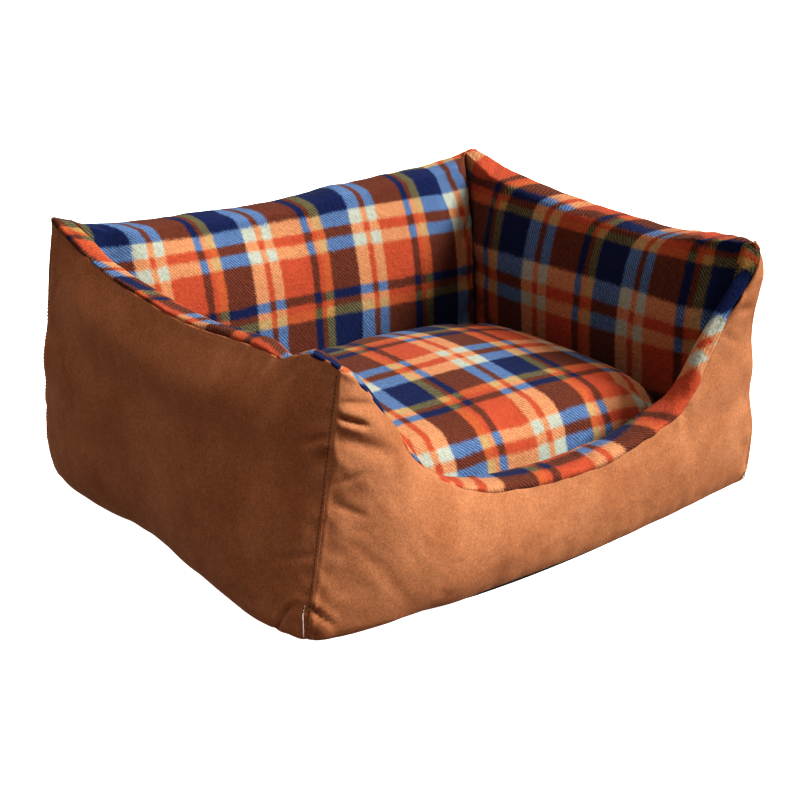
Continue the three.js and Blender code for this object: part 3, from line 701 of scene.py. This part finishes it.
def outer_surface(name, t, r):
    """Suede side of a wall, at one-dimensional fractions t along it and r up it."""
    wall = WALLS[name]
    seed = 100 * list(WALLS).index(name)
    shift = shift_at(wall, t, r)
    t, r = np.meshgrid(t, r, indexing="ij")
    points = wall_points(wall, t, r)
    normal = wall_normals(wall, t, r, 0, 1)
    near, far = end_distances(wall, t)
    z = points[..., 2]
    below = rim_height(wall, t) - z
    inside = smooth(np.minimum(near, far), 0, 5)
    lift = inside * (1.3 * billow(near, z, 85, seed) + 0.6 * billow(near, z, 30, seed + 10))
    lift += inside * 1.2 * wander(near, 9, seed + 20) * np.exp(-below / 16)
    lift += inside * 0.5 * wander(near, 21, seed + 21) * np.exp(-z / 16)
    for s, key in ((near, 30), (far, 31)):
        lift += inside * 0.6 * wander(z + s, 8, seed + key) * np.exp(-s / 13)
        pucker = np.maximum(wander(z + 0.5 * s, 9, seed + key + 2), 0)
        lift -= 1.1 * pucker * hump(s, 5, 5.5) * smooth(s, 0, 4)
        if name in ("left", "right"):
            lift += 0.5 * hump(s, 12, 6) - 0.45 * hump(s, STITCH["from_corner"], 1.4)
        else:
            lift += 0.3 * hump(s, 9, 6)
    lift += 0.25 * hump(below, 0.5, 1.6) - 0.3 * hump(below, 7, 4)
    lift -= 2.6 * np.clip(1 - z / 15, 0, 1) ** 2 + 6 * np.clip(1 - z / 55, 0, 1) ** 2
    for crease in CREASES[name]:
        lift += inside * crease_lift(near, z, crease)
    if name == "left":
        lift += tuck_lift(far, z, 0, 34)
        swell = hump(below, LEFT_PANEL_SWELL["below_rim"], LEFT_PANEL_SWELL["width"])
        lift += LEFT_PANEL_SWELL["lift"] * swell * smooth(np.minimum(near, far), 15, 90)
    if name == "front":
        lift += tuck_lift(near, z, 0.75, 12)
    points = points + normal * (SKIN + lift)[..., None] + shift
    rounding = 0.35 + 0.65 * smooth(below, 0, 14)
    for s, faces in zip((near, far), corner_vectors(wall)):
        drawn_in = 0.4 * np.exp(-(s / 5) ** 2) + 0.5 * np.exp(-(s / 1.2) ** 2)
        points = points - faces * (rounding * drawn_in)[..., None]
    wave = inside * (0.5 + 0.5 * wander(near, 42, seed + 40)) + 0.3 * inside * wander(near, 13, seed + 41)
    points[..., 2] += (1.7 * wave - 1.3) * np.exp(-z / 7)
    if name == "left":
        rise = LEFT_FOOT_RISE["lift"] * hump(t, LEFT_FOOT_RISE["at"], LEFT_FOOT_RISE["width"])
        points[..., 2] += rise * np.exp(-z / LEFT_FOOT_RISE["fades_over"])
    return points, normal


def panel_columns(count, crowding=0.8):
    even = np.linspace(0, 1, count)
    return mix(even, 0.5 - 0.5 * np.cos(math.pi * even), crowding)


# How the suede turns under at the foot: (distance in, distance down) from the panel's lowest edge.
UNDER_FOOT = ((9, 1.1), (4.5, 1.3), (2, 1.1), (0.7, 0.7))
LIP_RADIUS = 1.3


def outer_panel(name):
    """Suede panel whose top edge turns over into a lip and whose foot turns under."""
    wall = WALLS[name]
    t = panel_columns(int(wall["length"] / 2.6))
    r = 1 - (1 - np.linspace(0, 1, 84)) ** 1.15
    points, normal = outer_surface(name, t, r)
    stand = rim_stand(wall, t)
    away = outward(wall)
    top = points[:, -1]
    lip = []
    for turn in (0.7, 1.5, 2.3, 3.0):
        lip.append(top + away * (math.cos(turn) - 1) * LIP_RADIUS + stand * math.sin(turn) * LIP_RADIUS)
    foot = points[:, 0]
    under = [foot - away * reach + vec(0, 0, -drop) for reach, drop in UNDER_FOOT]
    rows = np.concatenate([np.stack(under, 1), points, np.stack(lip, 1)], 1)
    rows[..., 2] = np.maximum(rows[..., 2], CLOTH)
    piece = make_piece(f"{name}_suede_panel", grid_mesh(f"{name} suede", rows), SUEDE, "bed",
                       [f"{name}_outer_panel"])
    thicken(piece, CLOTH)


# Plaid on each wall's lining: the direction that runs to the right, seen from inside the bed, where the wide
# navy band starts across and down, the repeat both ways, in millimetres, how the bands climb to the right,
# whether they lie level (1) or follow the rim (0), and how the bands lean over the roll (slant).
LINING_PLAID = {
    "front": dict(right=(-1, 0, 0), start=(27, -72), repeat=(115, 128), climb=0, level=1, slant=0),
    "right": dict(right=(0, -1, 0), start=(28, -184), repeat=(124, 147), climb=0.065, level=1, slant=-0.4),
    "back": dict(right=(1, 0, 0), start=(23, -227.5), repeat=(112, 128), climb=-0.04, level=1, slant=0.4),
    "left": dict(right=(0, 1, 0), start=(-172, 4), repeat=(109, 128), climb=0.03, level=0, slant=0),
}
# Beside the back right corner the back lining's plaid is shifted along the wall: by how much, over what part
# of the wall's length, and how soon that fades further down.
BACK_PULL = dict(shift=11, reach=0.16, fades_over=28)


def lining_repeats(name, t, r):
    """Plaid coordinates of a lining, unrolled from the wall's inner face over the rim."""
    wall, plaid = WALLS[name], LINING_PLAID[name]
    right = np.array(plaid["right"], float)
    t_grid, r_grid = np.meshgrid(t, r, indexing="ij")
    edge = wall_points(wall, t_grid, np.full_like(t_grid, 2))
    here = wall_points(wall, t_grid, r_grid)
    steps = wall_points(wall, t[:, None], np.linspace(1, 2, 15)[None])
    arc = np.linalg.norm(np.diff(steps, axis=1), axis=-1).sum(1)[:, None]
    stand = rim_stand(wall, t_grid)
    over = arc * np.clip(2 - r_grid, 0, 1)
    down = np.linalg.norm(here - edge, axis=-1)
    rolled = r_grid < 2
    u = np.where(rolled, edge @ right + (stand @ right) * over, here @ right)
    u = u + plaid["slant"] * over
    if name == "back":
        fade = np.exp(-np.where(rolled, 0, down) / BACK_PULL["fades_over"])
        u = u + BACK_PULL["shift"] * hump(t_grid, 0, BACK_PULL["reach"]) * fade
    level = plaid["level"]
    v = np.where(rolled, -mix(1, stand[..., 2], level) * over, down) - level * edge[..., 2]
    v = v + plaid["climb"] * u
    (u_start, v_start), (u_repeat, v_repeat) = plaid["start"], plaid["repeat"]
    return vec((u - u_start) / u_repeat, (v - v_start) / v_repeat)


# How far the crease inside each corner is drawn out along x and along y.
CREASE_DEPTH = {"front_left": (3, 3), "front_right": (3.5, 3.5), "back_right": (2, 13), "back_left": (4, 4)}


ROLL_ARC = 34       # about how far the cloth runs over a roll


def eased(points, r):
    """Smooths the line where the rolled rim meets the inner face, in a grid with many rows."""
    if points.shape[1] < 20:
        return points
    share = 0.5 * hump(r[:, 1:-1], 2, 0.13)[..., None]
    for _ in range(40):
        beside = (points[:, :-2] + points[:, 2:]) / 2
        points = points.copy()
        points[:, 1:-1] = mix(points[:, 1:-1], beside, share)
    return points


def lining_surface(name, t, r):
    """Fleece side of a wall, at one-dimensional fractions t along it and height codes r from 1 to 3."""
    wall = WALLS[name]
    seed = 1000 + 100 * list(WALLS).index(name)
    shift = shift_at(wall, t, r)
    t, r = np.meshgrid(t, r, indexing="ij")
    points = wall_points(wall, t, r)
    normal = wall_normals(wall, t, r, 1, 3)
    near, far = end_distances(wall, t)
    z = points[..., 2]
    inside = smooth(np.minimum(near, far), 0, 6)
    over = (r - 1) * ROLL_ARC
    lift = inside * (1.1 * billow(near, z, 60, seed) + 0.5 * billow(near, z, 24, seed + 10))
    lift += inside * 0.7 * wander(near, 11, seed + 20) * np.exp(-over / 16)
    lift -= 1.1 * np.exp(-over / 1.8)
    for s, key in ((near, 30), (far, 31)):
        lift += inside * 0.9 * wander(z - s, 14, seed + key) * np.exp(-s / 20) * smooth(r, 1.6, 2.2)
        lift += 1.2 * hump(s, 16, 10) * smooth(r, 1.7, 2.2)
    points = points + normal * (SKIN + lift)[..., None] + shift
    for s, faces, end in zip((near, far), corner_vectors(wall), ("start", "end")):
        most = max(CREASE_DEPTH[wall[end]])
        depth = smooth(r, 1.2, 1.8) * (1 - 0.5 * np.clip(r - 2.1, 0, 1))
        width = mix(most, 7, smooth(r, 1.8, 2.5))
        near_corner = depth * np.exp(-(s / width) ** 2)
        points = points + faces * (*CREASE_DEPTH[wall[end]], 0) * near_corner[..., None]
    return eased(points, r), normal


def lining_panel(name):
    wall = WALLS[name]
    t = panel_columns(int(wall["length"] / 2.6))
    r = np.concatenate([1 + np.linspace(0, 1, 26) ** 1.2, np.linspace(2, 3, 62)[1:]])
    points, _ = lining_surface(name, t, r)
    mesh = grid_mesh(f"{name} fleece", points, lining_repeats(name, t, r))
    piece = make_piece(f"{name}_fleece_lining", mesh, FLEECE, "bed",
                       [f"{name}_lining_panel", f"{name}_wall_filling"])
    thicken(piece, CLOTH)


for wall_name, wall_shape in WALLS.items():
    wall_shape["shift"] = stuffed_shift(wall_name, wall_shape)
for wall_name in WALLS:
    outer_panel(wall_name)
    lining_panel(wall_name)


# ------------------------------------------------------------------ threads and stitching

def tube(path, radius, sides):
    """Points of a closed-up tube along a path of points, as a grid whose rows go round it."""
    path = np.asarray(path, float)
    ahead = unit(np.gradient(path, axis=0))
    side = unit(np.cross(ahead, np.where(abs(ahead[:, 2:]) > 0.9, (1.0, 0, 0), (0, 0, 1.0))))
    up = np.cross(ahead, side)
    turn = np.linspace(0, 2 * math.pi, sides, endpoint=False)
    ring = np.cos(turn)[None, :, None] * side[:, None] + np.sin(turn)[None, :, None] * up[:, None]
    return path[:, None] + ring * radius, path


def tubes_mesh(name, paths, radius, sides=6):
    """One mesh of many thin closed tubes."""
    points, faces = [], []
    for path in paths:
        rings, middle = tube(path, radius, sides)
        first = len(points)
        steps = len(middle)
        points += rings.reshape(-1, 3).tolist()
        points += [middle[0].tolist(), middle[-1].tolist()]
        start, end = first + steps * sides, first + steps * sides + 1
        for step in range(steps - 1):
            for i in range(sides):
                a, b = first + step * sides + i, first + step * sides + (i + 1) % sides
                faces.append((a, b, b + sides, a + sides))
        for i in range(sides):
            faces.append((start, first + (i + 1) % sides, first + i))
            last = first + (steps - 1) * sides
            faces.append((end, last + i, last + (i + 1) % sides))
    return smooth_mesh(name, points, faces)


def corner_stitches(name, at_end):
    """Row of topstitches beside a corner seam, on a side wall."""
    wall = WALLS[name]
    t_row = STITCH["from_corner"] / wall["length"]
    t_row = 1 - t_row if at_end else t_row
    height = CORNERS[wall["end" if at_end else "start"]]["peak"][2]
    paths = []
    for z in np.arange(8, height - 6, STITCH["pitch"]):
        r = (z + np.linspace(0, STITCH["length"], 5)) / height
        points, normal = outer_surface(name, np.array([t_row]), r)
        rise = np.array([-0.35, 0.25, 0.4, 0.25, -0.35])[:, None]
        paths.append(points[0] + normal[0] * rise)
    return paths


for side_wall, corner_end, corner_name in (("left", True, "front_left"), ("left", False, "back_left"),
                                           ("right", False, "front_right"), ("right", True, "back_right")):
    stitches = tubes_mesh(f"{corner_name} stitches", corner_stitches(side_wall, corner_end), STITCH["radius"])
    make_piece(f"{corner_name}_stitching", stitches, DARK_THREAD, "bed")


def loose_thread(name, wall, t, heights, sway, radius, material):
    """A thread end that hangs against a corner."""
    heights = np.linspace(*heights, 14)
    points, normal = outer_surface(wall, np.array([t]), heights / CORNERS[WALLS[wall]["end"]]["peak"][2])
    k = np.linspace(0, 1, len(heights))
    along = vec(*WALLS[wall]["along"], 0)
    path = points[0] + normal[0] * (radius + 0.3 + 0.8 * np.sin(math.pi * k))[:, None]
    path = path + along * (sway * np.sin(2.2 * math.pi * k))[:, None]
    make_piece(f"hanging_{name}", tubes_mesh(name, [path], radius, 8), material, "bed", [name])


loose_thread("corner_tack_thread", "left", 0.985, (3, 26), 0.5, 0.45, WHITE_THREAD)
loose_thread("corner_thread_tail", "front", 0.98, (2.5, 10), 0.8, 0.4, DARK_THREAD)


# ------------------------------------------------------------------ base and floor

def ring_mesh(name, rings, closed=False):
    """Closed-round mesh of rings of points, from the middle outwards; closed also caps the last ring."""
    rings = np.array(rings)
    count, around = rings.shape[:2]
    index = np.arange(count * around).reshape(count, around)
    turned = np.roll(index, -1, 1)
    faces = np.stack([index[:-1], index[1:], turned[1:], turned[:-1]], -1).reshape(-1, 4).tolist()
    faces.append(index[0].tolist())
    if closed:
        faces.append(index[-1, ::-1].tolist())
    return smooth_mesh(name, rings, faces)


def footprint():
    """Outline of the walls at the floor, anticlockwise from above, with its outward directions."""
    outline, away = [], []
    for wall in WALLS.values():
        t = panel_columns(90, 0.6)[:-1]
        r = np.zeros_like(t)
        outline.append(outer_point(wall, t, r))
        away.append(wall_normals(wall, t, r, 0, 1))
    away = np.concatenate(away) * (1, 1, 0)
    return np.concatenate(outline), away


def base_cloth():
    """Cloth under the bed. Its edge shows only under the front wall, as a thin dark line."""
    outline, away = footprint()
    around = np.arange(len(outline)) * 1.0
    centre = outline.mean(0)
    rings = []
    for share in (0.1, 0.3, 0.5, 0.7, 0.82, 0.9):
        ring = mix(centre, outline, share)
        ring[:, 2] = 1.2 + 0.12 * billow(ring[:, 0], ring[:, 1], 30, 5000)
        rings.append(ring)
    turned = 1 + 0.35 * wander(around, 9, 5010)
    x, y = outline[:, 0], outline[:, 1]
    hidden = 1 - smooth(x, -150, -90) * smooth(-y, 150, 175) * smooth(-x, -210, -170)
    peeping = (1 - hidden) * (3 + 2.5 * wander(around, 14, 5020)) - 4.5 * hidden
    for reach, height in ((-12.5, 1.6), (-11.4, 1.6), (-11.0, 2.0), (-11.3, 2.4)):
        rings.append(outline + away * (reach + peeping)[:, None] + vec(0, 0, 1) * (height * turned)[:, None])
    mesh = ring_mesh("base cloth", rings)
    piece = make_piece("woven_base_cloth", mesh, BASE_CLOTH, "bed", ["base_cloth"])
    thicken(piece, 1.0)


FLOOR_EASE = 2.2    # gap between the floor's pieces and the walls' feet
FLOOR_CORNER = 12   # radius of their corners
FLOOR_REACH = 130   # rough distance from the floor's middle to its edge, by which insets are scaled
LINER_TOP = 12.8


def floor_outline():
    """Rounded rectangle between the walls' feet."""
    left, front = (v + FLOOR_EASE for v in CORNERS["front_left"]["inner"])
    right, rear = (v - FLOOR_EASE for v in CORNERS["back_right"]["inner"])
    points = []
    for quarter, (x, y) in enumerate(((right, front), (right, rear), (left, rear), (left, front))):
        turn = np.radians(np.linspace(-90, 0, 9) + 90 * quarter)
        mid_x = x - math.copysign(FLOOR_CORNER, x)
        mid_y = y - math.copysign(FLOOR_CORNER, y)
        points.append(vec(mid_x + FLOOR_CORNER * np.cos(turn), mid_y + FLOOR_CORNER * np.sin(turn), 0 * turn))
    corners = np.concatenate([*points, points[0][:1]])
    length = np.concatenate([[0], np.cumsum(np.linalg.norm(np.diff(corners, axis=0), axis=1))])
    at = np.linspace(0, length[-1], 241)[:-1]
    return np.stack([np.interp(at, length, corners[:, axis]) for axis in range(3)], -1)


def floor_liner():
    outline = floor_outline()
    centre = outline.mean(0)
    rings = []
    for share in (0.06, 0.2, 0.35, 0.5, 0.65, 0.78, 0.88, 0.95, 0.985, 1):
        ring = mix(centre, outline, share)
        ring[:, 2] = LINER_TOP + 0.25 * billow(ring[:, 0], ring[:, 1], 45, 5100) * (1 - share ** 8)
        rings.append(ring)
    mesh = ring_mesh("floor liner", rings)
    piece = make_piece("loose_floor_liner", mesh, LINER, "bed", ["floor_liner"])
    thicken(piece, 0.9)


def base_pad():
    rings = []
    for inset, height in ((100, 11.5), (50, 11.5), (6, 11.4), (2, 10.9), (0.5, 9), (0.5, 4.5), (2, 2.6),
                          (6, 2.0), (100, 2.0)):
        ring = floor_outline()
        ring = mix(ring, ring.mean(0), inset / FLOOR_REACH)
        ring[:, 2] = height
        rings.append(ring)
    mesh = ring_mesh("base pad", rings, True)
    piece = make_piece("padded_base_board", mesh, WADDING, "bed", ["base_pad"])


base_cloth()
base_pad()
floor_liner()


# ------------------------------------------------------------------ cushion

# The cushion's centre along y is middle. Over its seam it rises by shoulder, changed by lean towards the
# back, and crown, and it reaches below the seam by below.
CUSHION = dict(half_width=185, half_depth=132.5, middle=-15.5, seam=42, shoulder=46, lean=-9, crown=25,
               below=28.1)
CUSHION_PLAID = dict(start=(-82.5, -79), repeat=(115, 127))
CUSHION_LATTICE = (66, 50)
LATTICE_CROWDING = 1.5
ZIP_HALF = 118      # half the zip's length
ZIP_GAPE = 5.2      # half the width of the zip's opening in the cover


def crowded(count, power):
    """Fractions from -1 to 1, closer together towards both ends."""
    k = np.linspace(-1, 1, count)
    return np.sign(k) * (1 - (1 - abs(k)) ** power)


def cushion_plan(a, b):
    """Plan position of a cushion point: a and b run from -1 to 1 across a rectangle with rounded corners."""
    most = np.maximum(np.maximum(abs(a), abs(b)), 1e-6)
    squeeze = (abs(a / most) ** 7 + abs(b / most) ** 7) ** (-1 / 7)
    scale = mix(1, squeeze, most ** 3)
    return a * scale * CUSHION["half_width"], CUSHION["middle"] + b * scale * CUSHION["half_depth"]


def cushion_points(a, b, upper):
    x, y = cushion_plan(a, b)
    edge = np.clip((1 - abs(a) ** 9) * (1 - abs(b) ** 9), 0, 1) ** 0.42
    if upper:
        peak_a, peak_b = a + 0.22 * (1 - a ** 2), b - 0.28 * (1 - b ** 2)
        crown = CUSHION["crown"] * (1 - abs(peak_a) ** 3.3) * (1 - abs(peak_b) ** 2.1)
        return vec(x, y, CUSHION["seam"] + (CUSHION["shoulder"] + CUSHION["lean"] * b) * edge + crown)
    return vec(x, y, CUSHION["seam"] - CUSHION["below"] * np.minimum(edge * 1.08, 1))


def cushion_shift(upper):
    """How far the stuffing pushes the cushion's cloth about, on a coarse lattice."""
    a, b = np.meshgrid(*(crowded(count, LATTICE_CROWDING) for count in CUSHION_LATTICE), indexing="ij")
    if not upper:
        return np.zeros((*CUSHION_LATTICE, 3))
    points = cushion_points(a, b, upper)
    hold = np.zeros(a.shape)
    hold_edges(hold)
    shift = inflate("cushion stuffing", points, hold, 1.4, 0.035, 6)
    return 0.6 * (shift - 0.8 * blur(shift, 80))


def lattice_index(k, count):
    """Fractional index of a fraction in a crowded row of the lattice."""
    even = np.sign(k) * (1 - (1 - abs(k)) ** (1 / LATTICE_CROWDING))
    return (even + 1) / 2 * (count - 1)


def cushion_cover(upper):
    side, half = (1, "top") if upper else (-1, "bottom")
    name = f"plaid_cushion_{half}"
    a, b = crowded(150, 2.2), crowded(116, 2.2)
    shift = resample(cushion_shift(upper), *(lattice_index(k, n) for k, n in zip((a, b), CUSHION_LATTICE)))
    a, b = np.meshgrid(a, b, indexing="ij")
    points = cushion_points(a, b, upper) + shift
    flat_u = np.cumsum(np.linalg.norm(np.diff(points, axis=0, prepend=points[:1]), axis=-1), 0)
    flat_v = np.cumsum(np.linalg.norm(np.diff(points, axis=1, prepend=points[:, :1]), axis=-1), 1)
    flat_u -= flat_u[len(flat_u) // 2]
    flat_v -= flat_v[:, flat_v.shape[1] // 2][:, None]
    (u_start, v_start), (u_repeat, v_repeat) = CUSHION_PLAID["start"], CUSHION_PLAID["repeat"]
    repeats = vec((-flat_u - u_start) / u_repeat, (flat_v + CUSHION["middle"] - v_start) / v_repeat)

    normal = grid_normals(points) * side
    rim = np.maximum(abs(a), abs(b))
    high = abs(points[..., 2] - CUSHION["seam"])
    around = np.where(abs(a) * 1.4 > abs(b), points[..., 1] + 300 * np.sign(a), points[..., 0])
    seed = 7000 if upper else 7100
    inside = smooth(1 - rim, 0, 0.02)
    lift = inside * 0.9 * billow(points[..., 0], points[..., 1], 70, seed)
    lift += inside * 0.45 * billow(points[..., 0], points[..., 1], 26, seed + 10)
    lift += inside * 0.9 * wander(around, 13, seed + 20) * np.exp(-high / 12)
    if not upper:
        lift *= np.exp(-(1 - rim) * 20)
    points = points + normal * lift[..., None]
    pull = 2.4 * np.exp(-(high / 2.6) ** 2) + 0.4 * np.exp(-high / 9)
    outwards = unit(vec(a ** 7, b ** 7, 0))
    points = points - outwards * pull[..., None]
    zip_window = smooth(ZIP_HALF + 5 - abs(points[..., 0]), 0, 9) * (b > 0.9)
    points[..., 2] += side * (0.15 + (ZIP_GAPE - 0.15) * zip_window * np.exp(-high / 9))
    points[..., 1] += zip_window * 3.6 * np.exp(-high / 4)
    mesh = grid_mesh(name, points if upper else points[::-1], repeats if upper else repeats[::-1])
    replaced = [f"cushion_{half}_cover"] + ["cushion_filling"] * upper
    piece = make_piece(name, mesh, FLEECE, "cushion", replaced)
    thicken(piece, CLOTH)
    return points


cushion_cover(True)
cushion_cover(False)


# ------------------------------------------------------------------ zip

TEETH_PITCH = 1.6
COIL_RADIUS = 0.27
TAPE_Y = 118.4
PLATE = 0.9         # thickness of the slider's two plates
LUG_HEIGHT = 1.4    # how far its lug stands out from the face plate


def zip_tape(half, side):
    name = f"woven_tape_{half}"
    x, h = np.meshgrid(np.linspace(-ZIP_HALF, ZIP_HALF, 119), np.linspace(0.5, 6.1, 9), indexing="ij")
    y = TAPE_Y + 0.6 + 0.12 * np.cos(h * 2.4) - 0.12
    points = vec(x, y, CUSHION["seam"] + side * h)
    mesh = grid_mesh(name, points if side < 0 else points[::-1])
    piece = make_piece(name, mesh, ZIP_TAPE, "cushion", [f"zip_{half}_tape"])
    thicken(piece, 0.5)


def zip_teeth(half, side):
    """Nylon coil: each turn is a small loop that grips the other side's."""
    name = f"nylon_coil_{half}"
    reach = ZIP_HALF - 3
    turns = int(2 * reach / TEETH_PITCH)
    steps = 10
    k = np.arange(turns * steps + 1) / steps
    x = -reach + TEETH_PITCH * k + (0 if side > 0 else TEETH_PITCH / 2)
    x = np.clip(x, -reach, reach)
    z = CUSHION["seam"] + side * (1.15 - 0.75 * np.cos(2 * math.pi * k))
    y = TAPE_Y + 0.6 + 1.05 + 0.5 * np.sin(2 * math.pi * k)
    mesh = tubes_mesh(name, [vec(x, y, z)], COIL_RADIUS)
    make_piece(name, mesh, ZIP_NYLON, "cushion", [f"zip_{half}_teeth"])


def outline_block(name, outline, depth_from, depth_to, bevel):
    """Plate of an outline in x and z, between two depths along y, with rounded edges."""
    count = len(outline)
    points = [(x, y, z) for y in (depth_from, depth_to) for x, z in outline]
    faces = [list(range(count)), list(range(2 * count - 1, count - 1, -1))]
    faces += [(i, count + i, count + (i + 1) % count, (i + 1) % count) for i in range(count)]
    mesh = bpy.data.meshes.new(name)
    mesh.from_pydata([[v * MM for v in p] for p in points], [], faces)
    work = bmesh.new()
    work.from_mesh(mesh)
    bmesh.ops.recalc_face_normals(work, faces=work.faces)
    bmesh.ops.bevel(work, geom=list(work.edges), offset=bevel * MM, segments=2, profile=0.6, affect="EDGES",
                    clamp_overlap=True)
    work.to_mesh(mesh)
    work.free()
    return mesh


def joined(name, meshes):
    """One mesh holding several closed bodies."""
    work = bmesh.new()
    for mesh in meshes:
        work.from_mesh(mesh)
    result = bpy.data.meshes.new(name)
    work.to_mesh(result)
    work.free()
    result.shade_smooth()
    return result


def zip_slider():
    low, high = (np.array(corner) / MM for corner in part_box("zip_slider"))
    mid_x, mid_z = (low[0] + high[0]) / 2, (low[2] + high[2]) / 2
    half_x, half_z = (high[0] - low[0]) / 2, (high[2] - low[2]) / 2
    shield = [(-1, 0.55), (-0.8, 0.85), (-0.3, 1), (0.35, 0.9), (0.85, 0.6), (1, 0.45)]
    outline = [(mid_x + a * half_x, mid_z - b * half_z) for a, b in shield]
    outline += [(mid_x + a * half_x, mid_z + b * half_z) for a, b in reversed(shield)]
    post = [(mid_x - half_x, mid_z - 0.3), (mid_x - half_x + 3, mid_z - 0.3),
            (mid_x - half_x + 3, mid_z + 0.3), (mid_x - half_x, mid_z + 0.3)]
    lug = [(mid_x + a, mid_z + b) for a, b in ((-2.4, -0.8), (2.4, -0.8), (2.4, 0.8), (-2.4, 0.8))]
    face = high[1] - LUG_HEIGHT - PLATE
    parts = [
        outline_block("slider back plate", outline, low[1], low[1] + PLATE, 0.2),
        outline_block("slider face plate", outline, face, face + PLATE, 0.2),
        outline_block("slider post", post, low[1] + 0.5, face + 0.4, 0.1),
        outline_block("slider lug", lug, face + 0.6, high[1], 0.35),
    ]
    mesh = joined("zip slider", parts)
    make_piece("metal_zip_slider", mesh, METAL, "zip_slider", ["zip_slider"])


def zip_stop(name):
    low, high = (np.array(corner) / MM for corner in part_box(name))
    outline = [(low[0], low[2]), (high[0], low[2]), (high[0], high[2]), (low[0], high[2])]
    mesh = outline_block(name, outline, low[1], high[1], 0.4)
    mesh.shade_smooth()
    make_piece(f"metal_{name}", mesh, METAL, "cushion", [name])


for zip_half, zip_side in (("upper", 1), ("lower", -1)):
    zip_tape(zip_half, zip_side)
    zip_teeth(zip_half, zip_side)
zip_slider()
zip_stop("zip_left_stop")
zip_stop("zip_right_stop")


# ------------------------------------------------------------------ floor, light and camera

def floor_material():
    material, tree, shader, place = new_material("pale floor", 0.9, specular=0.1)
    tint = blend_colours(tree, noise(tree, place, 300, 2), colour(232, 232, 230), colour(237, 237, 236))
    tree.links.new(tint, shader.inputs["Base Color"])
    shader.inputs["Emission Color"].default_value = (1, 1, 1, 1)
    shader.inputs["Emission Strength"].default_value = 0.8
    return material


def make_floor():
    mesh = bpy.data.meshes.new("floor")
    far = 30.0
    mesh.from_pydata([(-far, -far, 0), (far, -far, 0), (far, far, 0), (-far, far, 0)], [], [(0, 1, 2, 3)])
    floor = bpy.data.objects.new("floor", mesh)
    bpy.context.scene.collection.objects.link(floor)
    mesh.materials.append(floor_material())
    floor.visible_diffuse = False


def direction(azimuth, elevation):
    """Unit vector from the bed; azimuth 0 is in front of the entry and 90 to its right."""
    a, e = math.radians(azimuth), math.radians(elevation)
    return Vector((math.sin(a) * math.cos(e), -math.cos(a) * math.cos(e), math.sin(e)))


def sun(name, towards, spread, energy, tint):
    """A sun in a direction, as wide as an angle in degrees."""
    light = bpy.data.lights.new(name, "SUN")
    light.energy = energy
    light.color = tint
    light.angle = math.radians(spread)
    made = bpy.data.objects.new(name, light)
    made.location = Vector((0, 0, 0.1)) + towards * 3
    made.rotation_euler = towards.to_track_quat("Z", "Y").to_euler()
    bpy.context.scene.collection.objects.link(made)


def make_lights():
    sun("key", direction(45, 36.5), 22, 4.2, (1.0, 0.985, 0.965))
    sun("sky", direction(-60, 76), 60, 0.95, (1.0, 0.92, 0.88))


def make_world():
    world = bpy.data.worlds.new("studio")
    bpy.context.scene.world = world
    world.use_nodes = True
    background = world.node_tree.nodes["Background"]
    background.inputs["Color"].default_value = (1.0, 0.79, 0.69, 1.0)
    background.inputs["Strength"].default_value = 0.2


CAMERA = dict(azimuth=-38.4, elevation=22.7, roll=0.86, distance=1.606, target=(-0.0578, -0.0642, 0.1070))


def make_camera():
    back = direction(CAMERA["azimuth"], CAMERA["elevation"])
    azimuth, roll = math.radians(CAMERA["azimuth"]), math.radians(CAMERA["roll"])
    level = Vector((math.cos(azimuth), math.sin(azimuth), 0))
    above = back.cross(level)
    right = level * math.cos(roll) + above * math.sin(roll)
    up = above * math.cos(roll) - level * math.sin(roll)
    lens = bpy.data.cameras.new("camera")
    lens.lens = 90
    lens.sensor_width = 36
    lens.clip_start = 0.01
    camera = bpy.data.objects.new("camera", lens)
    place = Matrix.Translation(Vector(CAMERA["target"]) + back * CAMERA["distance"])
    camera.matrix_world = place @ Matrix((right, up, back)).transposed().to_4x4()
    bpy.context.scene.collection.objects.link(camera)
    bpy.context.scene.camera = camera


make_floor()
make_lights()
make_world()
make_camera()
bpy.context.scene.view_settings.view_transform = "Standard"
bpy.context.scene.view_settings.look = "High Contrast"
